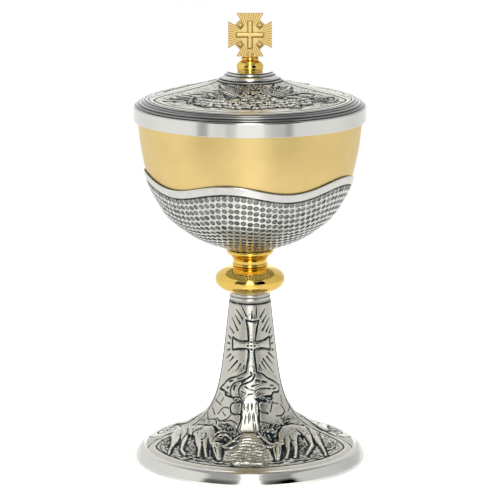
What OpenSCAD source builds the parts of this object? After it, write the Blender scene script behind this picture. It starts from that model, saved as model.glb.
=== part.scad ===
// Ciborium: a lidded altar cup on a flared foot, clamped together by one rod through the stem.
// Millimetres, +Z up. The origin is the centre of the foot's base, and the front of the cross faces -Y.

/* [Foot and stem] */
// Diameter of the foot over its rim
foot_d = 122.4; // [114:0.2:130]
// Height of the foot and stem, up to the seat of the knop
stem_h = 90.9; // [84:0.1:98]
// Diameter of the stem where it meets the knop
stem_top_d = 21.3; // [20:0.1:24]
// Height of the polished rim round the foot
rim_h = 7.5; // [6.5:0.1:9]
// Thickness of the foot and stem casting
foot_wall = 1.2; // [0.9:0.1:1.8]
// Height of the raised stags above the ground of the foot
relief_rise = 0.85; // [0.4:0.05:1.2]
// Height of the hill and the rocks above the ground of the foot
hill_rise = 0.4; // [0.2:0.05:0.8]

/* [Knop and neck] */
// Largest diameter of the knop
knop_d = 37.2; // [32:0.2:42]
// Height of the knop between its seats
knop_h = 14.5; // [12.5:0.1:17]
// Diameter of the neck above the knop
neck_d = 17.8; // [17:0.1:20]
// Diameter of the lip that carries the calyx
neck_lip_d = 24.9; // [23:0.1:28]
// Height of the neck ring and collar together
neck_h = 8.75; // [7.5:0.05:11]

/* [Cup and calyx] */
// Outer diameter of the cup at its lip
cup_d = 119; // [112:0.2:119.2]
// Height from the bottom of the calyx to the lip of the cup
cup_h = 74.05; // [68:0.05:80]
// Thickness of the cup wall
cup_wall = 1.1; // [0.8:0.1:1.3]
// Thickness of the hammered calyx
calyx_wall = 1.1; // [0.8:0.1:1.6]
// Number of waves in the upper edge of the calyx
wave_count = 5; // [3:1:9]
// Height of a wave above or below the mean edge
wave_rise = 2.45; // [0:0.05:5]
// Mean height of the calyx, from its bottom to its upper edge
calyx_h = 41.35; // [34:0.05:46]

/* [Lid] */
// Outer diameter of the lid's band
lid_d = 122.4; // [122.2:0.1:126]
// Overlap of the band below the lip of the cup
band_drop = 4.4; // [2:0.1:7]
// Depth of the locating flange inside the cup
flange_drop = 6.7; // [3:0.1:12]
// Rise of the domed top for each millimetre towards the middle
dome_slope = 0.25; // [0.15:0.01:0.35]
// Thickness of the domed top
dome_wall = 1.2; // [0.9:0.1:1.6]
// Diameter of the stepped boss under the finial
boss_d = 31.8; // [28:0.1:36]

/* [Finial] */
// Diameter of the finial's round knob
knob_d = 14.2; // [12:0.1:17]
// Height of the finial's round knob
knob_h = 7.6; // [6.5:0.1:10]
// Height and width of the cross
cross_size = 22.8; // [18:0.1:28]
// Thickness of the cross plate
cross_t = 2.2; // [1.6:0.1:3]

/* [Fixings] */
// Diameter of the rod that clamps cup, knop and foot together
rod_d = 8; // [6:0.5:8]
// Diameter of the threaded tang of the cross
tang_d = 4; // [3:0.5:4]

/* [Hidden] */
$fn = 96;

// Play between pieces that are soldered or clamped, and between rod and bores
joint_gap = 0.05;
bore_play = 0.1;

// Radii
foot_r = foot_d / 2;
stem_top_r = stem_top_d / 2;
knop_r = knop_d / 2;
neck_r = neck_d / 2;
neck_lip_r = neck_lip_d / 2;
cup_r = cup_d / 2;
lid_r = lid_d / 2;
boss_r = boss_d / 2;
knob_r = knob_d / 2;
rod_r = rod_d / 2;
tang_r = tang_d / 2;

// Foot: a slow taper up the stem, plus a flare that dies away above the rim
rim_w = 5.3;
shoulder_r = foot_r - rim_w;
stem_taper = 0.105;
flare_r = shoulder_r - stem_top_r - stem_taper * (stem_h - rim_h);
flare_h = 10.6;
flare_power = 1.1;
stem_steps = 26;
// Ledge of the rim ring under the casting, and the land that the foot stands on
ledge_w = 4;
land_r = foot_r - 4.2;

// How deep the raised work is rooted in the wall, and the sheet that it is drawn on
relief_root = 0.6;
eye = [0, -1448.3, 419.95];
eye_tilt = 11.951;
sheet_mid = [252.4, 250];
sheet_scale = 2784.1;

// Heights of the seats, from the ground up
z_knop = stem_h;
z_neck = z_knop + knop_h;
z_calyx = z_neck + neck_h;
z_bowl = z_calyx + calyx_wall + joint_gap;
z_lip = z_calyx + cup_h;
z_dome = z_lip + 7;
dome_r = lid_r - 8;
// The dome curls up a little more where it meets the boss
dome_curl = 1.075;
curl_w = 2.5;
z_boss = z_dome + dome_slope * (dome_r - boss_r) + dome_curl;
boss_h = 4;
z_knob = z_boss + boss_h;
z_cross = z_knob + knob_h;

// Knop: half an ellipse turned about the axis at some distance from it
knop_core_r = 3;
knop_wall = 1.3;
knop_z = z_knop + 0.49 * knop_h;
knop_half_h = 0.55 * knop_h;

// Neck ring and the boss of the cup, which the collar's bore takes
ring_h = 1.6;
cup_boss_r = 7;
cup_boss_h = 6.8;
bowl_floor_r = 0.185 * cup_r;

// A crest of the wavy edge stands at this angle from +X
crest_angle = -29.8;
wave_steps = 72;

// Lid seat: slack between the band or flange and the cup
seat_gap = 0.05;
band_wall = 1.1;
flange_r = cup_r - 2.2;
flange_wall = 1.2;

// Clamp in the foot
clamp_z = 33;
clamp_t = 2;
spring_t = 2;
tie_nut_h = 6.5;
tie_nut_w = 13;
rod_tail = 1.5;
lid_nut_h = 3.2;
lid_nut_w = 7;
lid_washer_t = 1;

silver = [0.80, 0.79, 0.76];
bright_silver = [0.88, 0.88, 0.86];
gold = [0.90, 0.76, 0.42];
rich_gold = [0.86, 0.62, 0.20];
steel = [0.62, 0.63, 0.65];

// A smooth curve through the points of p, with some steps between each two
function spline_at(a, b, c, d, t) =
    0.5 * (2 * b + (c - a) * t + (2 * a - 5 * b + 4 * c - d) * t * t + (3 * b - a - 3 * c + d) * t * t * t);
function smooth(p, steps) = [
    for (i = [0 : len(p) - 2], s = [0 : steps - 1])
        spline_at(p[max(i - 1, 0)], p[i], p[i + 1], p[min(i + 2, len(p) - 1)], s / steps),
    p[len(p) - 1]
];

// The line p moved sideways by d, to the right of its direction
function heading(p, i) = p[min(i + 1, len(p) - 1)] - p[max(i - 1, 0)];
function beside(p, d) = [
    for (i = [0 : len(p) - 1])
        let (h = heading(p, i))
        p[i] + d / norm(h) * [h[1], -h[0]]
];
function reversed(p) = [for (i = [len(p) - 1 : -1 : 0]) p[i]];

// Outer radius of the foot and stem at height z
function stem_r_at(z) =
    stem_top_r + stem_taper * (stem_h - z) + flare_r * exp(-pow(max(z - rim_h, 0) / flare_h, flare_power));
function stem_line() = [
    for (i = [0 : stem_steps])
        let (z = rim_h + (stem_h - rim_h) * pow(i / stem_steps, 1.8))
        [stem_r_at(z), z]
];

// Outer line of the cup from the edge of its floor to the lip: share of the radius, share of the height
bowl_shape = [[0.185, 0], [0.289, 0.033], [0.466, 0.092], [0.605, 0.166], [0.733, 0.256],
              [0.825, 0.375], [0.884, 0.468], [0.923, 0.571], [0.958, 0.702], [0.980, 0.826], [1, 1]];
function bowl_line() =
    smooth([for (s = bowl_shape) [cup_r * s[0], z_bowl + (z_lip - z_bowl) * s[1]]], 4);

// Height of the lid's top at radius r
function dome_z_at(r) = z_dome + dome_slope * (dome_r - r) + dome_curl * exp(-(r - boss_r) / curl_w);

// Height of the calyx edge at the angle a from +X
function edge_z_at(a) = z_calyx + calyx_h + wave_rise * cos(wave_count * (a - crest_angle));

module turned(outline) {
    rotate_extrude()
        polygon(outline);
}

module ring(r_out, r_in, z, h) {
    turned([[r_in, z], [r_out, z], [r_out, z + h], [r_in, z + h]]);
}

module hex_nut(width, bore_r, z, h) {
    difference() {
        translate([0, 0, z])
            cylinder(h = h, r = width / sqrt(3), $fn = 6);
        translate([0, 0, z - 1])
            cylinder(h = h + 2, r = bore_r);
    }
}

// Four equal arms that widen outwards, with a square shoulder in each notch
module cross_plate() {
    half = cross_size / 2;
    tip = 0.62 * half;
    neck_x = 0.45 * half;
    neck_y = 0.70 * half;
    rotate([90, 0, 0])
        linear_extrude(height = cross_t, center = true)
            polygon([
                for (q = [0 : 3], p = [[tip, half], [neck_x, neck_y], [neck_y, neck_x], [half, tip]])
                    [p[0] * cos(90 * q) + p[1] * sin(90 * q), p[1] * cos(90 * q) - p[0] * sin(90 * q)]
            ]);
}

// A bar along X with a ridge down each face of the plate
module ridged_bar(length, width, depth) {
    rotate([0, 90, 0])
        linear_extrude(height = length, center = true)
            polygon([[-width / 2, 0], [0, -depth], [width / 2, 0], [0, depth]]);
}

module finial_cross() {
    z_mid = z_cross + cross_size / 2;
    bar_length = 0.6 * cross_size;
    bar_w = 3;
    bar_depth = cross_t / 2 + 0.9;
    lozenge_l = 4.6;
    lozenge_w = 3.2;
    lozenge_at = 0.22 * cross_size;
    tang_end = lid_nut_z() - 1.2;
    color(gold) {
        translate([0, 0, z_mid]) {
            cross_plate();
            for (turn = [0, 90])
                rotate([0, turn, 0])
                    ridged_bar(bar_length, bar_w, bar_depth);
            for (turn = [45, 135, 225, 315])
                rotate([0, turn, 0])
                    translate([lozenge_at * sqrt(2), 0, 0])
                        ridged_bar(lozenge_l, lozenge_w, bar_depth);
        }
        translate([0, 0, tang_end])
            cylinder(h = z_cross + 2 - tang_end, r = tang_r);
    }
}

module finial_knob() {
    dome = smooth([[0.93, 0], [1, 0.12], [0.99, 0.25], [0.93, 0.37], [0.84, 0.52], [0.72, 0.67], [0.65, 0.74]], 4);
    cove = smooth([[0.62, 0.77], [0.59, 0.84], [0.49, 0.93], [0.43, 1]], 4);
    bore_r = tang_r + bore_play;
    color(rich_gold)
        turned(concat(
            [[bore_r, z_knob]],
            [for (p = concat(dome, cove)) [knob_r * p[0], z_knob + knob_h * p[1]]],
            [[bore_r, z_cross]]
        ));
}

// Two rounded steps, with a groove between them
module lid_boss() {
    step = smooth([[1, 0.05], [0.99, 0.2], [0.92, 0.4], [0.85, 0.53], [0.83, 0.52]], 4);
    top = smooth([[0.82, 0.56], [0.79, 0.74], [0.74, 0.9], [0.69, 0.985], [0.64, 1]], 4);
    bore_r = tang_r + bore_play;
    color(bright_silver)
        turned(concat(
            [[bore_r, z_boss], [boss_r - 0.3, z_boss]],
            [for (p = concat(step, top)) [boss_r * p[0], z_boss + boss_h * p[1]]],
            [[bore_r, z_knob]]
        ));
}

module lid_dome() {
    steps = 22;
    top = [
        for (i = [0 : steps])
            let (r = dome_r + (boss_r - dome_r) * sqrt(i / steps))
            [r, dome_z_at(r)]
    ];
    under = [for (p = top) [p[0] - 0.25 * dome_wall, p[1] - dome_wall]];
    bore_r = tang_r + bore_play;
    color(silver)
        turned(concat(
            [[dome_r, z_dome - dome_wall]],
            top,
            [[boss_r - 0.3, z_boss - joint_gap], [bore_r, z_boss - joint_gap], [bore_r, z_boss - dome_wall]],
            reversed(under)
        ));
}

// Bright band with two rounded beads on its shoulder, and a ledge inside that rests on the cup's lip
module lid_rim() {
    crown = smooth([[0, -1.1], [-0.3, -0.35], [-0.9, 0]], 4);
    outer_bead = smooth([[-1.1, 0.05], [-1.5, 0.75], [-2.4, 1.3], [-3.4, 1.45]], 4);
    inner_bead = smooth([[-3.6, 1.4], [-4, 2], [-5.2, 2.75], [-6.8, 3.3], [-7.7, 3.35], [-7.95, 3.15]], 4);
    z_crown = z_lip + 3.5;
    z_band = z_lip - band_drop;
    bead_points = concat(crown, outer_bead, inner_bead);
    color(bright_silver)
        turned(concat(
            [[lid_r - band_wall, z_band], [lid_r - 0.3, z_band], [lid_r, z_band + 0.3]],
            [for (p = bead_points) [lid_r + p[0], z_crown + p[1]]],
            [
                [dome_r + joint_gap, z_dome - dome_wall],
                [flange_r + 0.7, z_lip + 2.6],
                [flange_r + 0.7, z_lip + seat_gap],
                [lid_r - band_wall, z_lip + seat_gap]
            ]
        ));
}

module lid_flange() {
    color(gold)
        ring(flange_r, flange_r - flange_wall, z_lip - flange_drop, flange_drop + 2.2);
}

function lid_washer_z() = z_boss - dome_wall - lid_washer_t;
function lid_nut_z() = lid_washer_z() - lid_nut_h;

module lid_washer() {
    color(steel)
        ring(tang_r + 4, tang_r + bore_play, lid_washer_z(), lid_washer_t);
}

module lid_nut() {
    color(steel)
        hex_nut(lid_nut_w, tang_r + joint_gap, lid_nut_z(), lid_nut_h);
}

module cup_bowl() {
    outer = bowl_line();
    inner = beside(outer, -cup_wall);
    last = len(outer) - 1;
    color(gold)
        turned(concat(
            [[0, z_bowl]],
            outer,
            [[outer[last][0] - cup_wall, z_lip]],
            reversed([for (i = [1 : last - 1]) inner[i]]),
            [[bowl_floor_r, z_bowl + cup_wall], [0, z_bowl + cup_wall]]
        ));
}

module cup_boss() {
    z_low = z_bowl - joint_gap - cup_boss_h;
    thread_depth = cup_boss_h - 1;
    color(rich_gold)
        difference() {
            translate([0, 0, z_low])
                cylinder(h = cup_boss_h, r = cup_boss_r);
            translate([0, 0, z_low - 1])
                cylinder(h = thread_depth + 1, r = rod_r + joint_gap);
        }
}

// Everything above the wavy edge, as a ring round the cup
module above_the_waves() {
    inner_r = 0.75 * cup_r;
    outer_r = 1.2 * cup_r;
    top = z_lip + 10;
    angles = [for (i = [0 : wave_steps - 1]) 360 * i / wave_steps];
    corners = [
        for (a = angles, c = [[inner_r, edge_z_at(a)], [outer_r, edge_z_at(a)], [outer_r, top], [inner_r, top]])
            [c[0] * cos(a), c[0] * sin(a), c[1]]
    ];
    sides = [
        for (i = [0 : wave_steps - 1], k = [0 : 3])
            let (here = 4 * i, there = 4 * ((i + 1) % wave_steps), next = (k + 1) % 4)
            [here + k, here + next, there + next, there + k]
    ];
    polyhedron(points = corners, faces = sides, convexity = 4);
}

module calyx() {
    bowl = bowl_line();
    lower = [for (i = [0 : len(bowl) - 9]) bowl[i]];
    outer = beside(lower, calyx_wall + joint_gap);
    inner = beside(lower, joint_gap);
    last = len(lower) - 1;
    hole_r = cup_boss_r + bore_play;
    color(silver)
        difference() {
            turned(concat(
                [[hole_r, z_calyx], [bowl_floor_r, z_calyx]],
                [for (i = [1 : last]) outer[i]],
                reversed([for (i = [1 : last]) inner[i]]),
                [[bowl_floor_r, z_calyx + calyx_wall], [hole_r, z_calyx + calyx_wall]]
            ));
            above_the_waves();
        }
}

module neck_collar() {
    flare = smooth([[0, 0], [0.02, 0.2], [0.17, 0.37], [0.42, 0.52], [0.73, 0.66], [0.95, 0.79], [1, 0.9], [0.93, 0.97]], 4);
    z_low = z_neck + ring_h;
    flare_w = neck_lip_r - neck_r;
    bore_r = cup_boss_r + bore_play;
    color(rich_gold)
        turned(concat(
            [[bore_r, z_low]],
            [for (p = flare) [neck_r + flare_w * p[0], z_low + (z_calyx - z_low) * p[1]]],
            [[neck_lip_r - 0.4, z_calyx], [bore_r, z_calyx]]
        ));
}

module neck_ring() {
    bead_r = ring_h / 2;
    bead = [for (a = [-90 : 10 : 90]) [neck_r - 0.25 + bead_r * cos(a), z_neck + bead_r + bead_r * sin(a)]];
    bore_r = rod_r + bore_play;
    color(rich_gold)
        turned(concat([[bore_r, z_neck]], bead, [[bore_r, z_neck + ring_h]]));
}

// Hollow knop with a flat seat above and below
module knop() {
    low_angle = asin((z_knop - knop_z) / knop_half_h);
    high_angle = asin((z_neck - knop_z) / knop_half_h);
    steps = 24;
    outer = [
        for (i = [0 : steps])
            let (a = low_angle + (high_angle - low_angle) * i / steps)
            [knop_core_r + (knop_r - knop_core_r) * cos(a), knop_z + knop_half_h * sin(a)]
    ];
    inner = [
        for (i = [0 : steps])
            let (a = -55 + 110 * i / steps)
            [knop_core_r + (knop_r - knop_wall - knop_core_r) * cos(a), knop_z + (knop_half_h - knop_wall) * sin(a)]
    ];
    bore_r = rod_r + bore_play;
    color(rich_gold)
        turned(concat(
            [[bore_r, z_knop]],
            outer,
            [[bore_r, z_neck], [bore_r, inner[steps][1]]],
            reversed(inner),
            [[bore_r, inner[0][1]]]
        ));
}

// The raised work is drawn on a sheet held up in front of the foot: [x, y, width in mm], y down. This carries a
// point of the sheet back to the casting along a straight line from the eye, and gives [angle, radius, height].
function sight(p, depth) =
    let (u = (p[0] - sheet_mid[0]) / sheet_scale, v = (sheet_mid[1] - p[1]) / sheet_scale)
    eye + depth * [u, cos(eye_tilt) + v * sin(eye_tilt), v * cos(eye_tilt) - sin(eye_tilt)];
function outside(q) = norm([q[0], q[1]]) - stem_r_at(q[2]);
function on_foot(p, near = 1360, far = 1490, halvings = 16) =
    let (mid = (near + far) / 2, q = sight(p, mid))
    halvings == 0 ? [atan2(q[0], -q[1]), stem_r_at(q[2]), q[2]] :
    outside(q) > 0 ? on_foot(p, mid, far, halvings - 1) : on_foot(p, near, mid, halvings - 1);

// A point on the casting, the direction out of the metal there, and the width of the limb
function root_at(p) =
    let (at = on_foot(p), slope = stem_r_at(at[2] - 0.5) - stem_r_at(at[2] + 0.5), lean = [sin(at[0]), -cos(at[0])])
    [[at[1] * lean[0], at[1] * lean[1], at[2]], [lean[0], lean[1], slope] / norm([1, slope]), p[2]];

// A limb that is raised from the casting along a line: five-sided sections, rooted in the wall
module limb(line, rise) {
    roots = [for (p = line) root_at(p)];
    last = len(roots) - 1;
    corners = [
        for (i = [0 : last])
            let (
                at = roots[i][0], out = roots[i][1], half = roots[i][2] / 2,
                way = roots[min(i + 1, last)][0] - roots[max(i - 1, 0)][0],
                side = cross(way, out) / norm(cross(way, out))
            )
            each [
                at - half * side - relief_root * out,
                at + half * side - relief_root * out,
                at + 0.66 * half * side + 0.7 * rise * out,
                at + rise * out,
                at - 0.66 * half * side + 0.7 * rise * out
            ]
    ];
    sides = [
        for (i = [0 : last - 1], j = [0 : 4])
            let (a = 5 * i + j, b = 5 * i + (j + 1) % 5)
            each [[a, b, b + 5], [a, b + 5, a + 5]]
    ];
    ends = [for (k = [1 : 3]) each [[0, k + 1, k], [5 * last, 5 * last + k, 5 * last + k + 1]]];
    polyhedron(points = corners, faces = concat(sides, ends));
}

// The stag that drinks on the left of a panel: trunk, four legs, neck with head, and antlers
module left_stag() {
    limb([[181, 433, 6.6], [190, 431, 7.4], [201, 431, 7.8], [210, 433, 7.6]], relief_rise);
    limb([[180, 435, 6.4], [175.8, 445.4, 3], [171.8, 454, 2]], relief_rise);
    limb([[187.6, 435.4, 5], [185.4, 446, 2.6], [187.2, 454.4, 2]], relief_rise);
    limb([[203, 435.6, 6], [202.2, 447, 2.8], [201.4, 455.6, 2]], relief_rise);
    limb([[209, 436.4, 5], [208, 448, 2.4], [208.8, 456.2, 2]], relief_rise);
    limb([[211.2, 431.4, 6.2], [214.8, 441, 4], [217.4, 447, 3.8], [220.4, 457.4, 2.2]], relief_rise);
    limb([[217.4, 443.4, 1.8], [223.6, 435.4, 1.6], [231, 436.4, 1.4]], 0.6 * relief_rise);
    limb([[221.4, 446.4, 1.8], [232.6, 443, 1.7], [243, 435.8, 1.4]], 0.6 * relief_rise);
}

// The stag that drinks on the right, nearer to the middle
module right_stag() {
    limb([[290.6, 431.4, 7.4], [300, 430.4, 7.8], [311, 431, 7]], relief_rise);
    limb([[312, 432, 7], [320.6, 442.6, 3.6], [328, 455, 2]], relief_rise);
    limb([[310.4, 435.8, 5], [314, 445.6, 2.6], [309.2, 454.2, 2]], relief_rise);
    limb([[294.6, 435, 6], [297.6, 448, 2.6], [297.4, 456.8, 2]], relief_rise);
    limb([[289.4, 436, 5], [290.2, 449, 2.4], [288.6, 457.6, 2]], relief_rise);
    limb([[288, 431.4, 5.4], [283.8, 438, 3.8], [281.8, 446, 3.8], [279, 457.6, 2.2]], relief_rise);
    limb([[277.6, 446, 1.8], [268.4, 440.8, 1.7], [261, 433, 1.4]], 0.6 * relief_rise);
    limb([[276.6, 447.2, 1.6], [268, 446.4, 1.5], [259.8, 442.8, 1.3]], 0.6 * relief_rise);
}

// The hill under the cross, the rocks beside the water, and the water that falls from it
module hill() {
    limb(smooth([[234, 384, 8], [246, 379, 10], [260, 379, 10], [274, 384, 8]], 3), hill_rise);
    limb(smooth([[217, 409, 6], [226, 400, 7], [240, 408, 7]], 4), hill_rise);
    limb(smooth([[268, 408, 7], [280, 400, 7], [288.6, 408, 6]], 4), hill_rise);
    limb([[253, 402, 5.4], [253, 416, 6], [252, 432, 7]], hill_rise);
}

module foot_shell() {
    outer = stem_line();
    inner = beside(outer, -foot_wall);
    color(silver) {
        turned(concat(
            outer,
            [[stem_top_r - foot_wall, stem_h]],
            reversed([for (i = [1 : stem_steps - 1]) inner[i]]),
            [inner[0]]
        ));
        for (turn = [0, 180])
            rotate([0, 0, turn]) {
                left_stag();
                right_stag();
                hill();
            }
    }
}

// Turned ring: a polished bevel outside, and a ledge inside that the casting is soldered to
module foot_rim() {
    bevel = smooth([[5.3, 7.5], [3.8, 7], [2.6, 6.2], [1.8, 5.1], [1.05, 4], [0.3, 2.5], [0, 1.7], [0, 0.5]], 4);
    ledge_r = shoulder_r - ledge_w;
    rise = rim_h / 7.5;
    under = -foot_wall - 0.15;
    ledge_top = 8.9;
    color(bright_silver)
        turned(concat(
            [[land_r, 0], [foot_r - 0.4, 0]],
            reversed([for (p = bevel) [foot_r - p[0], rise * p[1]]]),
            [
                [shoulder_r + joint_gap, rim_h + under],
                [ledge_r, rise * ledge_top + under],
                [ledge_r, rise * ledge_top + under - 1.3],
                [shoulder_r + 0.6, rim_h + under - 1.3],
                [land_r, 1.6]
            ]
        ));
}

module stem_plate() {
    plate_t = 2;
    color(steel)
        ring(stem_top_r - foot_wall - joint_gap, rod_r + bore_play, stem_h - plate_t, plate_t);
}

// Disc with a tapered edge that wedges up into the stem
module clamp_plate() {
    slack = foot_wall + 0.15;
    color(steel)
        difference() {
            translate([0, 0, clamp_z])
                cylinder(h = clamp_t, r1 = stem_r_at(clamp_z) - slack, r2 = stem_r_at(clamp_z + clamp_t) - slack);
            translate([0, 0, clamp_z - 1])
                cylinder(h = clamp_t + 2, r = rod_r + bore_play);
        }
}

module tie_rod() {
    z_low = clamp_z - spring_t - tie_nut_h - rod_tail;
    z_top = z_bowl - joint_gap - 1.5;
    color(steel)
        translate([0, 0, z_low])
            cylinder(h = z_top - z_low, r = rod_r);
}

// Split ring under the nut
module spring_washer() {
    slit_w = 1.2;
    washer_r = rod_r + 2.6;
    color(steel)
        difference() {
            ring(washer_r, rod_r + bore_play, clamp_z - spring_t, spring_t);
            translate([rod_r - 1, -slit_w / 2, clamp_z - spring_t - 1])
                cube([washer_r, slit_w, spring_t + 2]);
        }
}

module tie_nut() {
    color(steel)
        hex_nut(tie_nut_w, rod_r + joint_gap, clamp_z - spring_t - tie_nut_h, tie_nut_h);
}

finial_cross();
finial_knob();
lid_boss();
lid_dome();
lid_rim();
lid_flange();
lid_washer();
lid_nut();
cup_bowl();
cup_boss();
calyx();
neck_collar();
neck_ring();
knop();
foot_shell();
foot_rim();
stem_plate();
clamp_plate();
tie_rod();
spring_washer();
tie_nut();
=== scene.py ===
"""A ciborium: a lidded altar cup with a gilt bowl, a hammered calyx and a chased foot."""
import math

import bpy
import numpy as np
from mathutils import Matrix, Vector


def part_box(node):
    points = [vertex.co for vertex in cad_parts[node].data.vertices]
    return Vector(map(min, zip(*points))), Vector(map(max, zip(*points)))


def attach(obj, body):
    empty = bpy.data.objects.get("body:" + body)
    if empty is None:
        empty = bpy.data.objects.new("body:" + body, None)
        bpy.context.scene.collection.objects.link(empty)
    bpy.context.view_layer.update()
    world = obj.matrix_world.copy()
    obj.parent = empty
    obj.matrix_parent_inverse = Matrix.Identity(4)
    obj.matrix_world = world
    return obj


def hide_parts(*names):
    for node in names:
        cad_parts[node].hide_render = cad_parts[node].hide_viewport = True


bl_info = {
    "name": "Ciborium",
    "version": (1, 0, 0),
    "blender": (4, 5, 0),
    "location": "3D view > Sidebar > Ciborium",
    "description": "Makes a gilt and silvered ciborium with a chased foot and lid",
    "category": "Add Mesh",
}

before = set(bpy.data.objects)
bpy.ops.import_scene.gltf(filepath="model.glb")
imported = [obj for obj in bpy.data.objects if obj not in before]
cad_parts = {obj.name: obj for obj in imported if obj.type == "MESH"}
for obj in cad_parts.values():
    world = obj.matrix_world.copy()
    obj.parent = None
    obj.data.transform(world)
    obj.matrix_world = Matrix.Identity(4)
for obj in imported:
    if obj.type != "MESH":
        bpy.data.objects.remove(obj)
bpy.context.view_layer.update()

# Nodes that are used often, each as its type, or as its type and the settings that it always has.
PLUS, LESS, TIMES, OVER, TIMES_PLUS, ROUND, FLOOR, SINE, COSINE, ABSOLUTE, MOST = (
    ("ShaderNodeMath", {"operation": word}) for word in (
        "ADD", "SUBTRACT", "MULTIPLY", "DIVIDE", "MULTIPLY_ADD", "ROUND", "FLOOR", "SINE", "COSINE",
        "ABSOLUTE", "MAXIMUM",
    )
)
STRETCH, SCALE = (("ShaderNodeVectorMath", {"operation": word}) for word in ("MULTIPLY", "SCALE"))
SPLIT = "ShaderNodeSeparateXYZ"
JOIN = "ShaderNodeCombineXYZ"
NOISE = "ShaderNodeTexNoise"
RANGE = "ShaderNodeMapRange"
SOFT_RANGE = (RANGE, {"interpolation_type": "SMOOTHSTEP"})
POSITION = "GeometryNodeInputPosition"
SAMPLE = ("GeometryNodeSampleIndex", {"domain": "POINT"})
ON_CURVE = ("GeometryNodeSampleCurve", {"mode": "LENGTH"})

# Millimetres that several pieces share.
FOOT_BEVEL = 5.3  # from the foot's edge in to its chased flare
LID_BORDER = 8.0  # from the lid's edge in to its chased top
SHELL = 1.2  # wall of the chased foot and lid
CUP_WALL = 1.1
ROD_HOLE = 4.1  # radius of the hole for the tie rod
TANG_HOLE = 2.1  # radius of the hole for the tang of the cross
NECK_BEAD = 1.6  # height of the bead above the knop
CALYX_RISE = 41.35  # from the bottom of the calyx to the mean height of its wavy edge
CROSS_FACE = 1.1  # half the thickness of the arms of the cross
GROOVE_STEP = 0.11  # distance between the rings of a turned piece beside a groove
GROOVE_REACH = 0.8  # how far from a groove the rings are that close


def linear(code):
    """The linear colour of an sRGB hex code."""
    parts = [int(code[i:i + 2], 16) / 255 for i in (1, 3, 5)]
    return [c / 12.92 if c <= 0.04045 else ((c + 0.055) / 1.055) ** 2.4 for c in parts]


def length(name, description, default):
    """A size in metres."""
    return bpy.props.FloatProperty(
        name=name, description=description, default=default, min=0.0, unit="LENGTH", subtype="DISTANCE",
        precision=4,
    )


def colour(name, description, code):
    """A colour given by its sRGB hex code."""
    return bpy.props.FloatVectorProperty(
        name=name, description=description, default=linear(code), size=3, min=0.0, max=1.0, subtype="COLOR"
    )


def width_of(node):
    """The width of a node of the frame."""
    low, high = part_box(node)
    return high[0] - low[0]


def foot_of(node):
    """The height at which a node of the frame begins."""
    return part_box(node)[0][2]


class CiboriumSizes(bpy.types.PropertyGroup):
    foot_width: length("Foot width", "Diameter of the foot over its rim", width_of("foot_rim"))
    rim_height: length("Rim height", "Height of the polished rim round the foot", 0.0075)
    stem_top_width: length("Stem top", "Diameter of the stem under the knop", 0.0213)
    knop_at: length("Knop height", "Height of the seat of the knop", foot_of("knop"))
    knop_width: length("Knop width", "Largest diameter of the knop", width_of("knop"))
    neck_at: length("Neck height", "Height of the seat of the neck ring", foot_of("neck_ring"))
    neck_width: length("Neck width", "Diameter of the neck above the knop", 0.0178)
    neck_lip: length("Neck lip", "Diameter of the lip that carries the calyx", width_of("neck_collar"))
    calyx_at: length("Calyx height", "Height of the bottom of the calyx", foot_of("calyx"))
    cup_width: length("Cup width", "Diameter of the cup at its lip", width_of("cup_bowl"))
    lip_at: length("Lip height", "Height of the lip of the cup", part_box("cup_bowl")[1][2])
    lid_width: length("Lid width", "Diameter of the band of the lid", width_of("lid_rim"))
    boss_width: length("Boss width", "Diameter of the boss under the finial", width_of("lid_boss"))
    boss_at: length("Boss height", "Height of the seat of the boss", foot_of("lid_boss"))
    knob_at: length("Knob height", "Height of the seat of the finial's knob", foot_of("finial_knob"))
    knob_width: length("Knob width", "Diameter of the finial's knob", width_of("finial_knob"))
    cross_size: length("Cross", "Height and width of the cross", 0.0228)
    cross_at: length("Cross height", "Height of the bottom of the cross", 0.2172)
    wave_rise: length("Wave rise", "Height of a wave of the calyx above its mean edge", 0.00245)
    waves: bpy.props.IntProperty(name="Waves", description="Waves round the calyx", default=5, min=3, max=9)
    pockets: bpy.props.IntProperty(
        name="Pockets", description="Pockets of the calyx in its longest row", default=104, min=20
    )
    row_pitch: length("Row pitch", "Distance between two rows of pockets", 0.0037)
    pocket_width: length("Pocket width", "Width of one pocket of the calyx", 0.0031)
    pocket_depth: length("Pocket depth", "Depth of one pocket of the calyx", 0.0005)
    segments: bpy.props.IntProperty(
        name="Segments", description="Facets round a turned piece", default=240, min=48, max=720
    )


class CiboriumFinishes(bpy.types.PropertyGroup):
    satin_gold: colour("Satin gold", "Gold plate with a satin finish", "#E6CB88")
    bright_gold: colour("Bright gold", "Polished gold plate", "#F1CB68")
    cast_gold: colour("Cast gold", "Gold plate on a casting", "#D8BF7D")
    silver: colour("Silver", "Polished silver plate", "#DEDDD8")
    worn_silver: colour("Worn silver", "Silver plate rubbed back after it was darkened", "#CFCDC3")
    # The pocket film colour also paints the shade of the gap under the calyx's lip.
    pocket_film_and_gap_shade: colour("Pocket film", "The thinner film in the hammered pockets", "#363733")
    oxide: colour("Oxide", "Darkened silver in the recesses", "#222E33")
    steel: colour("Steel", "Zinc-plated steel", "#9C9DA0")
    paper: colour("Floor", "Pale floor that the cup stands on", "#F4F4F2")


def mm(value):
    """A property's metres as millimetres."""
    return value * 1000.0


def node(tree, kind, inputs=(), **settings):
    """Adds a node of a type or of one of the kinds above, with its settings and its inputs."""
    kind, usual = kind if isinstance(kind, tuple) else (kind, {})
    made = tree.nodes.new(kind)
    for key, value in {**usual, **settings}.items():
        setattr(made, key, value)
    feed(tree, made, inputs)
    return made


def feed(tree, made, inputs):
    """Gives a node its inputs, in order or by name: values, sockets, or nodes for their first output."""
    for key, value in inputs.items() if isinstance(inputs, dict) else enumerate(inputs):
        if isinstance(value, bpy.types.Node):
            value = value.outputs[0]
        if isinstance(value, bpy.types.NodeSocket):
            tree.links.new(value, made.inputs[key])
        else:
            made.inputs[key].default_value = value


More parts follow.
